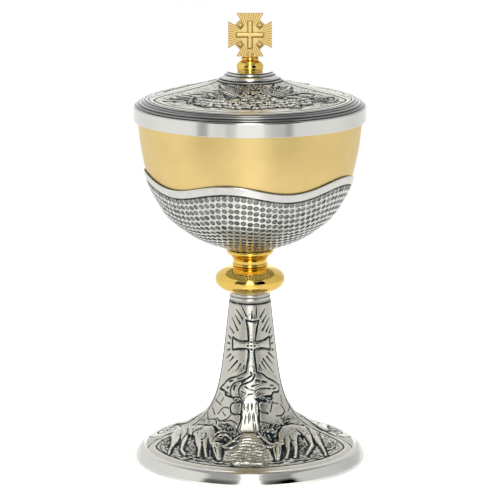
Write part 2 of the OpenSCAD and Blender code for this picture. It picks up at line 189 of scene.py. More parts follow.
def smooth(points, steps=4):
    """A Catmull-Rom curve through points of any dimension, with some steps between each two."""
    p = np.asarray(points, float)
    if len(p) < 3:
        t = np.linspace(0, 1, 2 * steps + 1)[:, None]
        return p[0] * (1 - t) + p[-1] * t
    out = []
    for i in range(len(p) - 1):
        a, b, c, d = p[max(i - 1, 0)], p[i], p[i + 1], p[min(i + 2, len(p) - 1)]
        t = np.arange(steps)[:, None] / steps
        square, cube = 2 * a - 5 * b + 4 * c - d, 3 * b - a - 3 * c + d
        out.append(0.5 * (2 * b + (c - a) * t + square * t ** 2 + cube * t ** 3))
    out.append(p[-1:])
    return np.concatenate(out)


def beside(line, distance):
    """The line moved sideways, to the right of its direction."""
    p = np.asarray(line, float)
    way = np.empty_like(p)
    way[1:-1] = p[2:] - p[:-2]
    way[0] = p[1] - p[0]
    way[-1] = p[-1] - p[-2]
    way /= np.linalg.norm(way, axis=1)[:, None]
    return p + distance * np.stack([way[:, 1], -way[:, 0]], axis=1)


def eased(section, radius, closed=True, limit=22.0, steps=4):
    """The section with each corner sharper than the limit in degrees rounded, as polishing leaves it."""
    p = [np.array(q, float) for q in section]
    out = []
    n = len(p)
    for i in range(n):
        if not closed and i in (0, n - 1):
            out.append(p[i])
            continue
        before, here, after = p[i - 1], p[i], p[(i + 1) % n]
        into, away = here - before, after - here
        a, b = np.linalg.norm(into), np.linalg.norm(away)
        if a < 1e-6 or b < 1e-6:
            continue
        turn = math.degrees(math.acos(max(-1.0, min(1.0, float(into @ away) / (a * b)))))
        if turn < limit or here[0] < 0.01:
            out.append(here)
            continue
        cut = min(radius, 0.4 * a, 0.4 * b)
        first, last = here - into / a * cut, here + away / b * cut
        for k in range(steps + 1):
            t = k / steps
            out.append((1 - t) ** 2 * first + 2 * t * (1 - t) * here + t ** 2 * last)
    return out


def own_object(name, data, finish=None):
    """A new object in the scene that holds a mesh, a curve, a light or a camera."""
    made = bpy.data.objects.new(name, data)
    bpy.context.scene.collection.objects.link(made)
    if finish is not None:
        data.materials.append(finish)
    return made


def marked_mesh(mesh, marks):
    """Stores values at the mesh's points under the names of its marks."""
    for name, values in marks.items():
        layer = mesh.attributes.new(name, "FLOAT", "POINT")
        layer.data.foreach_set("value", np.asarray(values).reshape(-1).astype(np.float32))


def shaped_by(tree, name, points, values, oxide=None):
    """The plain mesh that a geometry nodes tree makes of a line of points, as a new object."""
    mesh = bpy.data.meshes.new(name)
    mesh.from_pydata(points, [(i, i + 1) for i in range(len(points) - 1)], [])
    if oxide is not None:
        marked_mesh(mesh, {"oxide": oxide})
    made = own_object(name, mesh)
    modifier = made.modifiers.new("Shape", "NODES")
    modifier.node_group = tree
    for item in tree.interface.items_tree:
        if item.in_out == "INPUT" and item.name in values:
            modifier[item.identifier] = values[item.name]
    seen = made.evaluated_get(bpy.context.evaluated_depsgraph_get())
    result = bpy.data.meshes.new_from_object(seen)
    made.modifiers.remove(modifier)
    made.data = result
    result.name = name
    bpy.data.meshes.remove(mesh)
    return made


def geometry_tree(name, inputs):
    """A geometry nodes tree with an input of some kind for each name, and the sockets of its inputs."""
    tree = bpy.data.node_groups.new(name, "GeometryNodeTree")
    for label, kind in {"Geometry": "Geometry", **inputs}.items():
        tree.interface.new_socket(label, in_out="INPUT", socket_type=f"NodeSocket{kind}")
    tree.interface.new_socket("Geometry", in_out="OUTPUT", socket_type="NodeSocketGeometry")
    return tree, node(tree, "NodeGroupInput").outputs


def section_grid(tree, section, columns):
    """A flat grid with a row for each point of a section, its places, and their rows and section points."""
    points = node(tree, "GeometryNodeAttributeDomainSize", [section], component="MESH")
    across = node(tree, PLUS, [columns, 1.0])
    grid = node(tree, "GeometryNodeMeshGrid", [1.0, 1.0, across, points])
    place = node(tree, SPLIT, [node(tree, POSITION)]).outputs
    last = node(tree, LESS, [points, 1.0])
    row = node(tree, ROUND, [node(tree, TIMES, [node(tree, PLUS, [place[1], 0.5]), last])])
    reading = {"Geometry": section, "Value": node(tree, POSITION), "Index": row}
    spot = node(tree, SPLIT, [node(tree, SAMPLE, reading, data_type="FLOAT_VECTOR")]).outputs
    return grid, place, row, spot


def turned_to(tree, angle, radius, level):
    """The point at an angle, a radius and a height."""
    x = node(tree, TIMES, [radius, node(tree, COSINE, [angle])])
    y = node(tree, TIMES, [radius, node(tree, SINE, [angle])])
    return node(tree, JOIN, [x, y, level])


def finish_skin(tree, grid, oxide, at, finish, sharp=None):
    """Ends a tree: marks the grid with its oxide and painted shade, bends it, closes it and smooths it, apart
    from sharp edges.

    The marks are stored before the grid is bent, because they are read from the places of the flat grid."""
    stored = {"Geometry": grid, "Name": "oxide", "Value": oxide}
    marked = node(tree, "GeometryNodeStoreNamedAttribute", stored, data_type="FLOAT", domain="POINT")
    skin = node(tree, "GeometryNodeSetPosition", {"Geometry": marked, "Position": at})
    closed = node(tree, "GeometryNodeMergeByDistance", {"Geometry": skin, "Distance": 1e-6})
    soft = node(tree, "GeometryNodeSetShadeSmooth", [closed], domain="FACE")
    if sharp is not None:
        bend = node(tree, "GeometryNodeInputMeshEdgeAngle")
        keen = node(tree, "FunctionNodeCompare", [bend, sharp], data_type="FLOAT", operation="GREATER_THAN")
        edges = {"Geometry": soft, "Selection": keen, "Shade Smooth": False}
        soft = node(tree, "GeometryNodeSetShadeSmooth", edges, domain="EDGE")
    real = node(tree, "GeometryNodeRealizeInstances", [soft])
    done = node(tree, "GeometryNodeSetMaterial", {"Geometry": real, "Material": finish})
    node(tree, "NodeGroupOutput", [done])


def turned_tree():
    """A grid whose rows take their radius, height and oxide from the points of a section."""
    wanted = {"Segments": "Int", "Sharp angle": "Float", "Finish": "Material"}
    tree, given = geometry_tree("Turned metal", wanted)
    grid, place, row, spot = section_grid(tree, given["Geometry"], given["Segments"])
    angle = node(tree, TIMES_PLUS, [place[0], 2 * math.pi, math.pi])
    held = node(tree, "GeometryNodeInputNamedAttribute", {"Name": "oxide"}, data_type="FLOAT")
    film = node(tree, SAMPLE, {"Geometry": given["Geometry"], "Value": held, "Index": row}, data_type="FLOAT")
    at = turned_to(tree, angle, spot[0], spot[2])
    finish_skin(tree, grid, film, at, given["Finish"], given["Sharp angle"])
    return tree


def turned(name, section, finish, closed=True, segments=None, grooves=()):
    """A turned piece from its section, a list of (radius, height) in millimetres with the metal on its left.

    Each groove is a radius, a height and the reach of the oxide that the polishing left in it."""
    ring = [np.array(p, float) for p in section]
    if closed:
        ring.append(ring[0])
    line = [ring[0]]
    for a, b in zip(ring[:-1], ring[1:]):
        gaps = [math.dist((a + b) / 2, g[:2]) - 0.5 * math.dist(a, b) for g in grooves]
        parts = max(1, int(math.dist(a, b) / GROOVE_STEP)) if gaps and min(gaps) < GROOVE_REACH else 1
        line += [a + (b - a) * k / parts for k in range(1, parts + 1)]
    # The film covers the first third of its reach whole, and then dies away.
    film = [max([1.35 - math.dist(p, g[:2]) / g[2] for g in grooves], default=0.0) for p in line]
    count = segments or bpy.context.scene.ciborium_sizes.segments
    values = {"Segments": count, "Sharp angle": math.radians(50), "Finish": finish}
    tree = bpy.data.node_groups.get("Turned metal") or turned_tree()
    return shaped_by(tree, name, [(p[0] / 1000, 0.0, p[1] / 1000) for p in line], values, np.clip(film, 0, 1))


# The camera, in millimetres and radians. The chasing is laid out on a square sheet held up to this view, and
# then carried on to the metal along the line of sight, as a chaser pounces a drawing through from a pattern.
EYE = (0.0, -1448.3, 419.95)
EYE_PITCH = 0.20858
EYE_REACH = 2784.1
SHEET = 500  # units of the sheet along each side
NEAREST, FARTHEST = 1360, 1500  # how far in front of the camera the metal is sought

FLARE_ROWS = 151  # rows of the foot's relief that lie on its flare

STEM_TAPER = 0.105  # how much narrower the stem is for each millimetre up
FLARE_REACH = 10.6  # height over which the foot's flare dies away
DOME_SLOPE = 0.25  # how much higher the lid is for each millimetre in
DOME_CURL, CURL_REACH = 1.075, 2.5  # how far the lid curls up at its boss, and over what distance


def foot_line(sizes, z):
    """Outer radius of the foot and stem at height z: a slow taper, and a flare that dies away upwards."""
    shoulder = mm(sizes.foot_width) / 2 - FOOT_BEVEL
    top = mm(sizes.stem_top_width) / 2
    rim, seat = mm(sizes.rim_height), mm(sizes.knop_at)
    flare = shoulder - top - STEM_TAPER * (seat - rim)
    return top + STEM_TAPER * (seat - z) + flare * np.exp(-(np.maximum(z - rim, 0) / FLARE_REACH) ** 1.1)


def dome_line(sizes, r):
    """Height of the lid's top at radius r: a plain slope that curls up where it meets the boss."""
    edge, boss = mm(sizes.lid_width) / 2 - LID_BORDER, mm(sizes.boss_width) / 2
    base = mm(sizes.boss_at) - DOME_SLOPE * (edge - boss) - DOME_CURL
    return base + DOME_SLOPE * (edge - r) + DOME_CURL * np.exp(-(r - boss) / CURL_REACH)


def bowl_line(sizes):
    """Outer line of the cup from the edge of its floor to its lip."""
    share = [(0.185, 0), (0.289, 0.033), (0.466, 0.092), (0.605, 0.166), (0.733, 0.256), (0.825, 0.375),
             (0.884, 0.468), (0.923, 0.571), (0.958, 0.702), (0.980, 0.826), (1, 1)]
    radius, floor, lip = mm(sizes.cup_width) / 2, mm(sizes.calyx_at) + 1.15, mm(sizes.lip_at)
    return smooth([(radius * a, floor + (lip - floor) * b) for a, b in share], 4)


def blurred(field, sigma_rows, sigma_columns):
    """The field smoothed, carried round the columns because the panels repeat."""
    out = field
    for axis, sigma in ((0, sigma_rows), (1, sigma_columns)):
        reach = max(1, int(3 * sigma))
        steps = np.arange(-reach, reach + 1)
        weights = np.exp(-(steps / sigma) ** 2 / 2)
        weights /= weights.sum()
        pad = [(reach, reach) if k == axis else (0, 0) for k in (0, 1)]
        wide = np.pad(out, pad, mode="edge" if axis == 0 else "wrap")
        size = out.shape[axis]
        total = np.zeros_like(out)
        for step, weight in zip(steps, weights):
            start = reach + step
            total += weight * (wide[start:start + size] if axis == 0 else wide[:, start:start + size])
        out = total
    return out


class Relief:
    """Chased work over half of a turned surface, in millimetres: rows up its outer line, columns round it.

    The other half is the same work turned half way round. The front is at angle 0, and angles grow to the
    right."""

    def __init__(self, line, along, columns, seed, shift=0.0):
        self.line = np.asarray(line, float)
        steps = np.hypot(*np.diff(self.line, axis=0).T)
        self.reach = np.concatenate([[0], np.cumsum(steps)])
        self.along = np.asarray(along, float)
        self.radius = np.interp(self.along, self.reach, self.line[:, 0])
        self.level = np.interp(self.along, self.reach, self.line[:, 1])
        self.angle = np.linspace(-math.pi / 2, math.pi / 2, columns, endpoint=False)
        self.height = np.zeros((len(self.along), columns))
        self.dark = np.zeros_like(self.height)
        self.rubbed = np.zeros_like(self.height)
        self.random = np.random.default_rng(seed)
        self.shift = shift

    def on_metal(self, points):
        """Points of the sheet followed to the metal: their angles and distances along the outer line."""
        points = np.asarray(points, float)
        u = (points[:, 0] - SHEET / 2 - self.shift) / EYE_REACH
        v = (SHEET / 2 - points[:, 1]) / EYE_REACH
        depth = np.linspace(NEAREST, FARTHEST, 561)[:, None]
        x = EYE[0] + depth * u
        y = EYE[1] + depth * (math.cos(EYE_PITCH) + v * math.sin(EYE_PITCH))
        z = EYE[2] + depth * (v * math.cos(EYE_PITCH) - math.sin(EYE_PITCH))
        r = np.hypot(x, y)
        steep = np.ptp(self.line[:, 1]) > np.ptp(self.line[:, 0])
        if steep:
            outside = r - np.interp(z, self.line[:, 1], self.line[:, 0])
        else:
            outside = z - np.interp(r, self.line[::-1, 0], self.line[::-1, 1])
        # Metal behind the axis is out of sight.
        outside = np.where(y > 12, 1e3, outside)
        inside = outside < 0
        first = np.where(inside.any(axis=0), inside.argmax(axis=0), outside.argmin(axis=0))
        pick = np.arange(len(points))
        r, z = r[first, pick], z[first, pick]
        if steep:
            along = np.interp(z, self.line[:, 1], self.reach)
        else:
            along = np.interp(-r, -self.line[:, 0], self.reach)
        return np.stack([np.arctan2(x[first, pick], -y[first, pick]), along], axis=1)

    def path(self, points, width, steps=5):
        """A smooth stroke on the metal, with its width at each point or one width all along."""
        points = np.asarray(points, float)
        given = np.linspace(0, 1, np.size(width))
        widths = np.interp(np.linspace(0, 1, len(points)), given, np.atleast_1d(width))
        fine = smooth(np.column_stack([points, widths]), steps)
        return np.column_stack([self.on_metal(fine[:, :2]), np.maximum(fine[:, 2], 0.02)])

    def window(self, low, high, margin):
        """The rows and columns within a margin of a stretch of the metal."""
        rows = slice(*np.searchsorted(self.along, [low[1] - margin, high[1] + margin]))
        least = max(1.0, self.radius[rows].min() if rows.stop > rows.start else 1.0)
        spread = margin / least
        columns = slice(*np.searchsorted(self.angle, [low[0] - spread, high[0] + spread]))
        return rows, columns

    def near(self, path, margin):
        """The window round a path, how far its cells are outside the stroke, and the stroke's width there."""
        rows, columns = self.window(path.min(axis=0), path.max(axis=0), margin + path[:, 2].max())
        along = self.along[rows][:, None]
        angle = self.angle[columns][None, :]
        radius = self.radius[rows][:, None]
        outside = np.full((along.shape[0], angle.shape[1]), 1e3)
        wide = np.full_like(outside, path[0, 2])
        for a, b in zip(path[:-1], path[1:]):
            dx, dy = (b[0] - a[0]) * radius, b[1] - a[1]
            px, py = (angle - a[0]) * radius, along - a[1]
            t = np.clip((px * dx + py * dy) / (dx * dx + dy * dy + 1e-9), 0, 1)
            w = a[2] + (b[2] - a[2]) * t
            d = np.hypot(px - t * dx, py - t * dy) - w
            closer = d < outside
            outside = np.where(closer, d, outside)
            wide = np.where(closer, w, wide)
        return (rows, columns), outside, wide

    def darken(self, least, cells=...):
        """Leaves at least so much oxide in some cells, or in all of them."""
        self.dark[cells] = np.maximum(self.dark[cells], least)

    def rub(self, least, cells):
        """Rubs some cells at least so bright."""
        self.rubbed[cells] = np.maximum(self.rubbed[cells], least)

    def cut(self, points, width=0.35, depth=0.16, dark=1.0):
        """An engraved line with a rounded bottom, a little wider than its width."""
        cells, outside, wide = self.near(self.path(points, np.atleast_1d(width) * 0.62), 0.2)
        share = np.clip(1 - ((outside + wide) / (wide + 0.08)) ** 2, 0, 1)
        strength = np.clip(wide / 0.12, 0.25, 1)
        self.height[cells] -= depth * strength * share
        self.darken(dark * strength * share ** 0.7, cells)

    def ridge(self, points, width=0.8, height=0.25):
        """A raised cord of metal with a shadow down each side."""
        cells, outside, wide = self.near(self.path(points, np.atleast_1d(width) / 2), 0.6)
        share = np.clip(-outside / wide, 0, 1)
        lift = height * np.sqrt(1 - (1 - share) ** 2)
        region = self.height[cells]
        self.height[cells] = np.where(outside < 0, np.maximum(region, 0.35 * region + lift), region)
        self.dark[cells] *= np.where(outside < 0, 0.25, 1)
        self.darken(np.exp(-((outside - 0.12) / 0.2) ** 2), cells)
        self.rub(share, cells)

    def body(self, limbs, height=0.9, edge=1.6, blend=0.5):
        """A figure raised from behind: limbs that flow into each other, with a line cut round them all."""
        paths = [self.path(points, np.atleast_1d(width) / 2) for points, width in limbs]
        every = np.concatenate(paths)
        rows, columns = cells = self.window(every.min(axis=0), every.max(axis=0), 1.5 + every[:, 2].max())
        mass = np.zeros(self.height[cells].shape)
        for path in paths:
            (r, c), outside, _ = self.near(path, 1.6)
            top, left = max(r.start, rows.start), max(c.start, columns.start)
            low, right = min(r.stop, rows.stop), min(c.stop, columns.stop)
            part = outside[top - r.start:low - r.start, left - c.start:right - c.start]
            across = slice(left - columns.start, right - columns.start)
            mass[top - rows.start:low - rows.start, across] += np.exp(-np.clip(part, -12, 12) / blend)
        outside = -blend * np.log(np.maximum(mass, 1e-9))
        inside = outside < 0
        lift = height * np.sqrt(1 - np.clip(1 + outside / edge, 0, 1) ** 2)
        self.height[cells] = np.where(inside, 0.3 * self.height[cells] + lift, self.height[cells])
        ring = 0.84 * np.exp(-((outside - 0.12) / 0.22) ** 2)
        self.height[cells] -= 0.14 * ring
        self.dark[cells] *= np.where(inside, 0.1, 1)
        self.darken(ring, cells)
        self.rub(np.clip(-outside / edge, 0, 1), cells)

    def hollow(self, points, width, depth=0.4, dark=0.9):
        """A deep recess with soft sides, darkened at its bottom."""
        cells, outside, _ = self.near(self.path(points, np.atleast_1d(width) / 2), 1.2)
        share = np.clip(0.5 - outside / 0.9, 0, 1)
        share = share * share * (3 - 2 * share)
        self.height[cells] -= depth * share
        self.darken(dark * share, cells)

    def wipe(self, points, width):
        """Takes the oxide and the tooling off a stretch, which is left bright."""
        cells, outside, _ = self.near(self.path(points, np.atleast_1d(width) / 2), 0.6)
        kept = np.clip(0.5 + outside, 0, 1)
        self.height[cells] *= kept
        self.dark[cells] *= kept
        self.rub(1 - kept, cells)

    def scrub(self, centre, spread, count, long, width, turns=(0, math.pi), cut=0.5, dark=1.0):
        """A patch of short strokes in any direction, some of them cut and the others raised."""
        for _ in range(count):
            spot = np.array(centre) + self.random.uniform(-1, 1, 2) * np.asarray(spread)
            turn = self.random.uniform(*turns)
            end = spot + self.random.uniform(*long) * np.array([math.cos(turn), 0.7 * math.sin(turn)])
            if self.random.random() < cut:
                self.cut([spot, end], [width, 0.4 * width], 0.28 * dark, dark)
            else:
                self.ridge([spot, end], [1.1 * width, 0.5 * width], 0.3)

    def swell(self, points, width, height):
        """A broad low rise with no edge."""
        cells, outside, wide = self.near(self.path(points, np.atleast_1d(width) / 2), 1.0)
        share = np.clip(-outside / wide, 0, 1)
        self.height[cells] += height * share * (2 - share)

    def punch(self, centre, spread, count, size=0.32, depth=0.1, dark=0.7):
        """Dots of a round punch scattered over an oval of the sheet."""
        spots = centre + self.random.normal(0, 1, (count, 2)) * np.asarray(spread) * 0.55
        for spot in self.on_metal(spots):
            dot = np.array([[*spot, size / 2], [spot[0], spot[1] + 0.05, size / 2]])
            cells, outside, wide = self.near(dot, 0.15)
            share = np.clip(1 - ((outside + wide) / (wide + 0.1)) ** 2, 0, 1)
            self.height[cells] -= depth * share
            self.darken(dark * share, cells)

    def pebbles(self, centre, spread, count, size=1.4, height=0.35, squash=0.6):
        """Rounded stones, each with a dark line round it."""
        spots = centre + self.random.uniform(-1, 1, (count, 2)) * np.asarray(spread)
        sizes = size * self.random.uniform(0.6, 1.25, count)
        for spot, wide in zip(spots, sizes):
            lean = self.random.uniform(-0.4, 0.4)
            half = 0.5 * wide
            ends = [(spot[0] - half, spot[1] + lean * half), (spot[0] + half, spot[1] - lean * half)]
            self.body([(ends, wide * squash)], height=height, edge=0.45, blend=0.12)

    def frond(self, root, tip, leaves=7, spread=0.9, width=0.7, height=0.3):
        """A feathery spray: a curved stalk with leaves on each side that grow shorter towards its tip."""
        root, tip = np.array(root, float), np.array(tip, float)
        stalk = tip - root
        side = np.array([-stalk[1], stalk[0]])
        for i in range(leaves):
            share = (i + 0.5) / leaves
            base = root + stalk * share * 0.8
            for hand in (-1, 1):
                grow = stalk * 0.3 + hand * side * spread * 0.34 * (1 - 0.55 * share)
                end = base + grow
                mid = base + grow * 0.55 + stalk * 0.03
                self.ridge([base, mid, end], [width, width, 0.15], height)
        self.ridge([root, root + stalk * 0.5, tip], [width * 0.9, width * 0.7, 0.2], height * 1.1)

    def settle(self, fine=0.12):
        """Softens the cut edges a little and darkens what lies below its surroundings."""
        self.height = blurred(self.height, 0.55, 0.7)
        around = blurred(self.height, 3.2, 4.0)
        low = np.clip((around - self.height) / fine, 0, 1.5)
        high = np.clip((self.height - around) / fine, 0, 1.5)
        self.dark = np.clip(np.maximum(self.dark, 0.95 * low) - 0.35 * high, 0, 1)
        self.rubbed = np.clip(0.5 * self.rubbed + 0.6 * high, 0, 1)
        self.dark = np.clip(1.55 * blurred(self.dark, 0.45, 0.6) - 0.06, 0, 1)

    def skin(self):
        """Points in metres, normals, and how dark and how rubbed the metal is, all the way round."""
        angle = np.concatenate([self.angle, self.angle + math.pi])
        height, dark, rubbed = (np.concatenate([f, f], axis=1) for f in (self.height, self.dark, self.rubbed))
        way = np.gradient(self.line, axis=0)
        way /= np.linalg.norm(way, axis=1)[:, None]
        out_r = np.interp(self.along, self.reach, way[:, 1])[:, None]
        out_z = np.interp(self.along, self.reach, -way[:, 0])[:, None]
        r = self.radius[:, None] + height * out_r
        z = self.level[:, None] + height * out_z
        points = np.stack([r * np.sin(angle), -r * np.cos(angle), z * np.ones_like(angle)], axis=2)
        around = np.roll(points, -1, axis=1) - np.roll(points, 1, axis=1)
        upward = np.gradient(points, axis=0)
        normal = np.cross(around, upward)
        normal /= np.linalg.norm(normal, axis=2)[:, :, None] + 1e-12
        return points / 1000, normal, {"oxide": dark, "rubbed": rubbed}


def sheet_of_metal(name, points, normals, marks, finish, ring=False):
    """A grid of points as a mesh with its own smooth normals and marks. A ring is closed all the way round."""
    rows, columns = points.shape[:2]
    mesh = bpy.data.meshes.new(name)
    index = np.arange(rows * columns).reshape(rows, columns)
    if ring:
        index = np.concatenate([index, index[:, :1]], axis=1)
    quads = np.stack([index[:-1, :-1], index[:-1, 1:], index[1:, 1:], index[1:, :-1]], axis=2).reshape(-1, 4)
    mesh.vertices.add(rows * columns)
    mesh.vertices.foreach_set("co", points.reshape(-1).astype(np.float32))
    mesh.loops.add(quads.size)
    mesh.loops.foreach_set("vertex_index", quads.reshape(-1).astype(np.int32))
    mesh.polygons.add(len(quads))
    mesh.polygons.foreach_set("loop_start", np.arange(0, quads.size, 4, dtype=np.int32))
    mesh.polygons.foreach_set("use_smooth", np.ones(len(quads), bool))
    mesh.update(calc_edges=True)
    marked_mesh(mesh, marks)
    mesh.normals_split_custom_set_from_vertices(normals.reshape(-1, 3).astype(np.float32))
    mesh.validate()
    return own_object(name, mesh, finish)


def halves(name, relief, finish, rows=slice(None), every=1):
    """The front and the back of a relief as two pieces that meet at the sides, or one where every is 2."""
    points, normals, marks = relief.skin()
    columns = points.shape[1]
    picks = {name: np.arange(0, columns, every)}
    if every == 1:
        # The last row has only every second point where a coarser piece goes on from it.
        if rows.stop is not None:
            last = rows.stop - 1
            for grid in (points, normals):
                grid[last, 1::2] = (grid[last, 0::2] + np.roll(grid[last, 0::2], -1, axis=0)) / 2
        half = np.arange(columns // 2 + 1)
        picks = {f"{name}_front": half, f"{name}_back": (half + columns // 2) % columns}
    made = []
    for word, pick in picks.items():
        chosen = {key: values[rows][:, pick] for key, values in marks.items()}
        grid, way = points[rows][:, pick], normals[rows][:, pick]
        made.append(sheet_of_metal(word, grid, way, chosen, finish, ring=every > 1))
    return made


def frame_panel(relief, low, high, corner, strip, ground):
    """The ground of a panel let down between plain strips, with a line cut along both sides of each strip."""
    from_side = (math.pi / 2 - np.abs(relief.angle))[None, :] * relief.radius[:, None]
    # The strip between the two panels thins out where the piece is slender.
    strip = strip * np.clip(relief.radius / (0.35 * relief.radius.max()) - 0.35, 0.05, 1)[:, None]
    inward, upward = from_side - strip, relief.along[:, None] - low
    round_in = corner - np.hypot(np.minimum(inward - corner, 0), np.minimum(upward - corner, 0))
    inside = np.where((inward < corner) & (upward < corner), round_in, np.minimum(inward, upward))
    inside = np.minimum(inside, high - relief.along[:, None])
    relief.height -= ground * np.clip(inside / 0.7, 0, 1)
    for distance, width, depth, kept in (
        (inside, 0.6, 0.26, 1), (inside + strip, 0.45, 0.14, np.clip(strip / 2, 0, 1)),
    ):
        share = kept * np.clip(1 - (distance / width) ** 2, 0, 1)
        relief.height -= depth * share
        relief.darken(share ** 0.7)
    return inside


def mat_ground(relief, inside, region, grain, depth, dark):
    """The tooled ground between the figures, as fine irregular strokes."""
    noise = blurred(relief.random.normal(0, 1, relief.height.shape), *grain)
    noise /= noise.std()
    share = np.clip((inside - 0.8) / 0.8, 0, 1) * region
    relief.height += depth * noise * share
    relief.darken(share * dark * np.clip(0.45 - 0.6 * noise, 0, 1))


def draw_stem_cross(relief):
    """The cross with flared arms, five dots at its crossing and short rays all round it."""
    outline = [
        [(251, 341), (250.7, 334), (250, 327.5), (248.4, 320)],
        [(248.4, 320), (251.5, 321), (254.8, 321.6), (258.2, 321.2), (261.3, 320.4)],
        [(261.3, 320.4), (259.6, 327.5), (258.6, 334), (257.6, 341.2)],
        [(257.6, 341.4), (263, 341), (267.6, 339.4), (272, 336.2)],
        [(272, 336.2), (272.4, 343), (272.8, 349.8)],
        [(272.8, 349.8), (268, 348.6), (262.5, 348.2), (257.6, 349.6)],
        [(256.8, 350.2), (257.2, 357), (258.2, 364), (259, 371.6)],
        [(248.2, 372), (249.6, 364), (250.8, 357), (251, 350.4)],
        [(251, 349.6), (246.5, 348.8), (240.5, 349), (234.8, 349.8)],
        [(234.8, 349.8), (234.9, 343), (235, 337)],
        [(235, 337), (239, 339.9), (244.5, 341.2), (251, 341.2)],
    ]
    relief.swell([(254, 322), (254, 345), (254, 371)], [7.5, 4.6, 6.5], 0.3)
    relief.swell([(236, 343.4), (254, 345), (271.5, 343)], [6.4, 4.6, 6.4], 0.3)
    for line in outline:
        relief.cut(line, [0.85, 1.1, 1.1, 0.85], 0.36)
    for spot in [(253.6, 345.7), (250.1, 345.7), (257.1, 345.5), (253.8, 342.2), (253.7, 349.4)]:
        relief.cut([spot, (spot[0] + 0.15, spot[1])], 1, 0.3)
    for spot in [(253.8, 352.8), (253.8, 355.8), (253.8, 358.6), (253.8, 338.9), (253.8, 335.8)]:
        relief.cut([spot, (spot[0] + 0.1, spot[1])], 0.36, 0.14, 0.6)
    relief.cut([(247.6, 345.4), (243.2, 345)], [0.4, 0.15], 0.1, 0.6)
    relief.cut([(259.6, 345.2), (265.6, 344.6)], [0.45, 0.15], 0.1, 0.7)
    rays = [
        ((248.8, 316.6), (243.2, 304.8)), ((254.4, 318.4), (254.4, 311)), ((259, 316.2), (259.2, 306.2)),
        ((262.6, 317.6), (267.6, 308.6)), ((265, 322), (269.4, 314.6)), ((265, 330.2), (271.6, 317.6)),
        ((268.8, 331.4), (271.6, 325.4)), ((271.8, 332.8), (274.2, 326.6)), ((273.4, 337.6), (275.2, 334.6)),
        ((274, 343.4), (276, 342.4)), ((274.6, 349), (276.6, 349.8)), ((271.2, 352.4), (277, 358.2)),
        ((269.4, 356.4), (275.2, 363.4)), ((265.8, 358.8), (276, 372.4)), ((264.4, 361.6), (268.4, 368.8)),
        ((262, 364.8), (264.2, 371)), ((244.8, 318.6), (238.6, 309.4)), ((242.4, 323.4), (237.4, 315)),
        ((240, 330.2), (234.2, 317.6)), ((236, 333), (231.6, 326.4)), ((232.6, 338), (230.2, 334.8)),
        ((231.8, 343.4), (229, 342.4)), ((231.8, 349.2), (228.8, 350.2)), ((232.8, 354.2), (228.4, 357.8)),
        ((235.4, 357), (231.8, 361.4)), ((239.6, 360.8), (230, 371.4)), ((242.6, 364), (238.4, 371)),
        ((246.6, 365.6), (245, 370.4)),
    ]
    for near, far in rays:
        relief.cut([near, far], [0.95, 0.72, 0.25], 0.3)


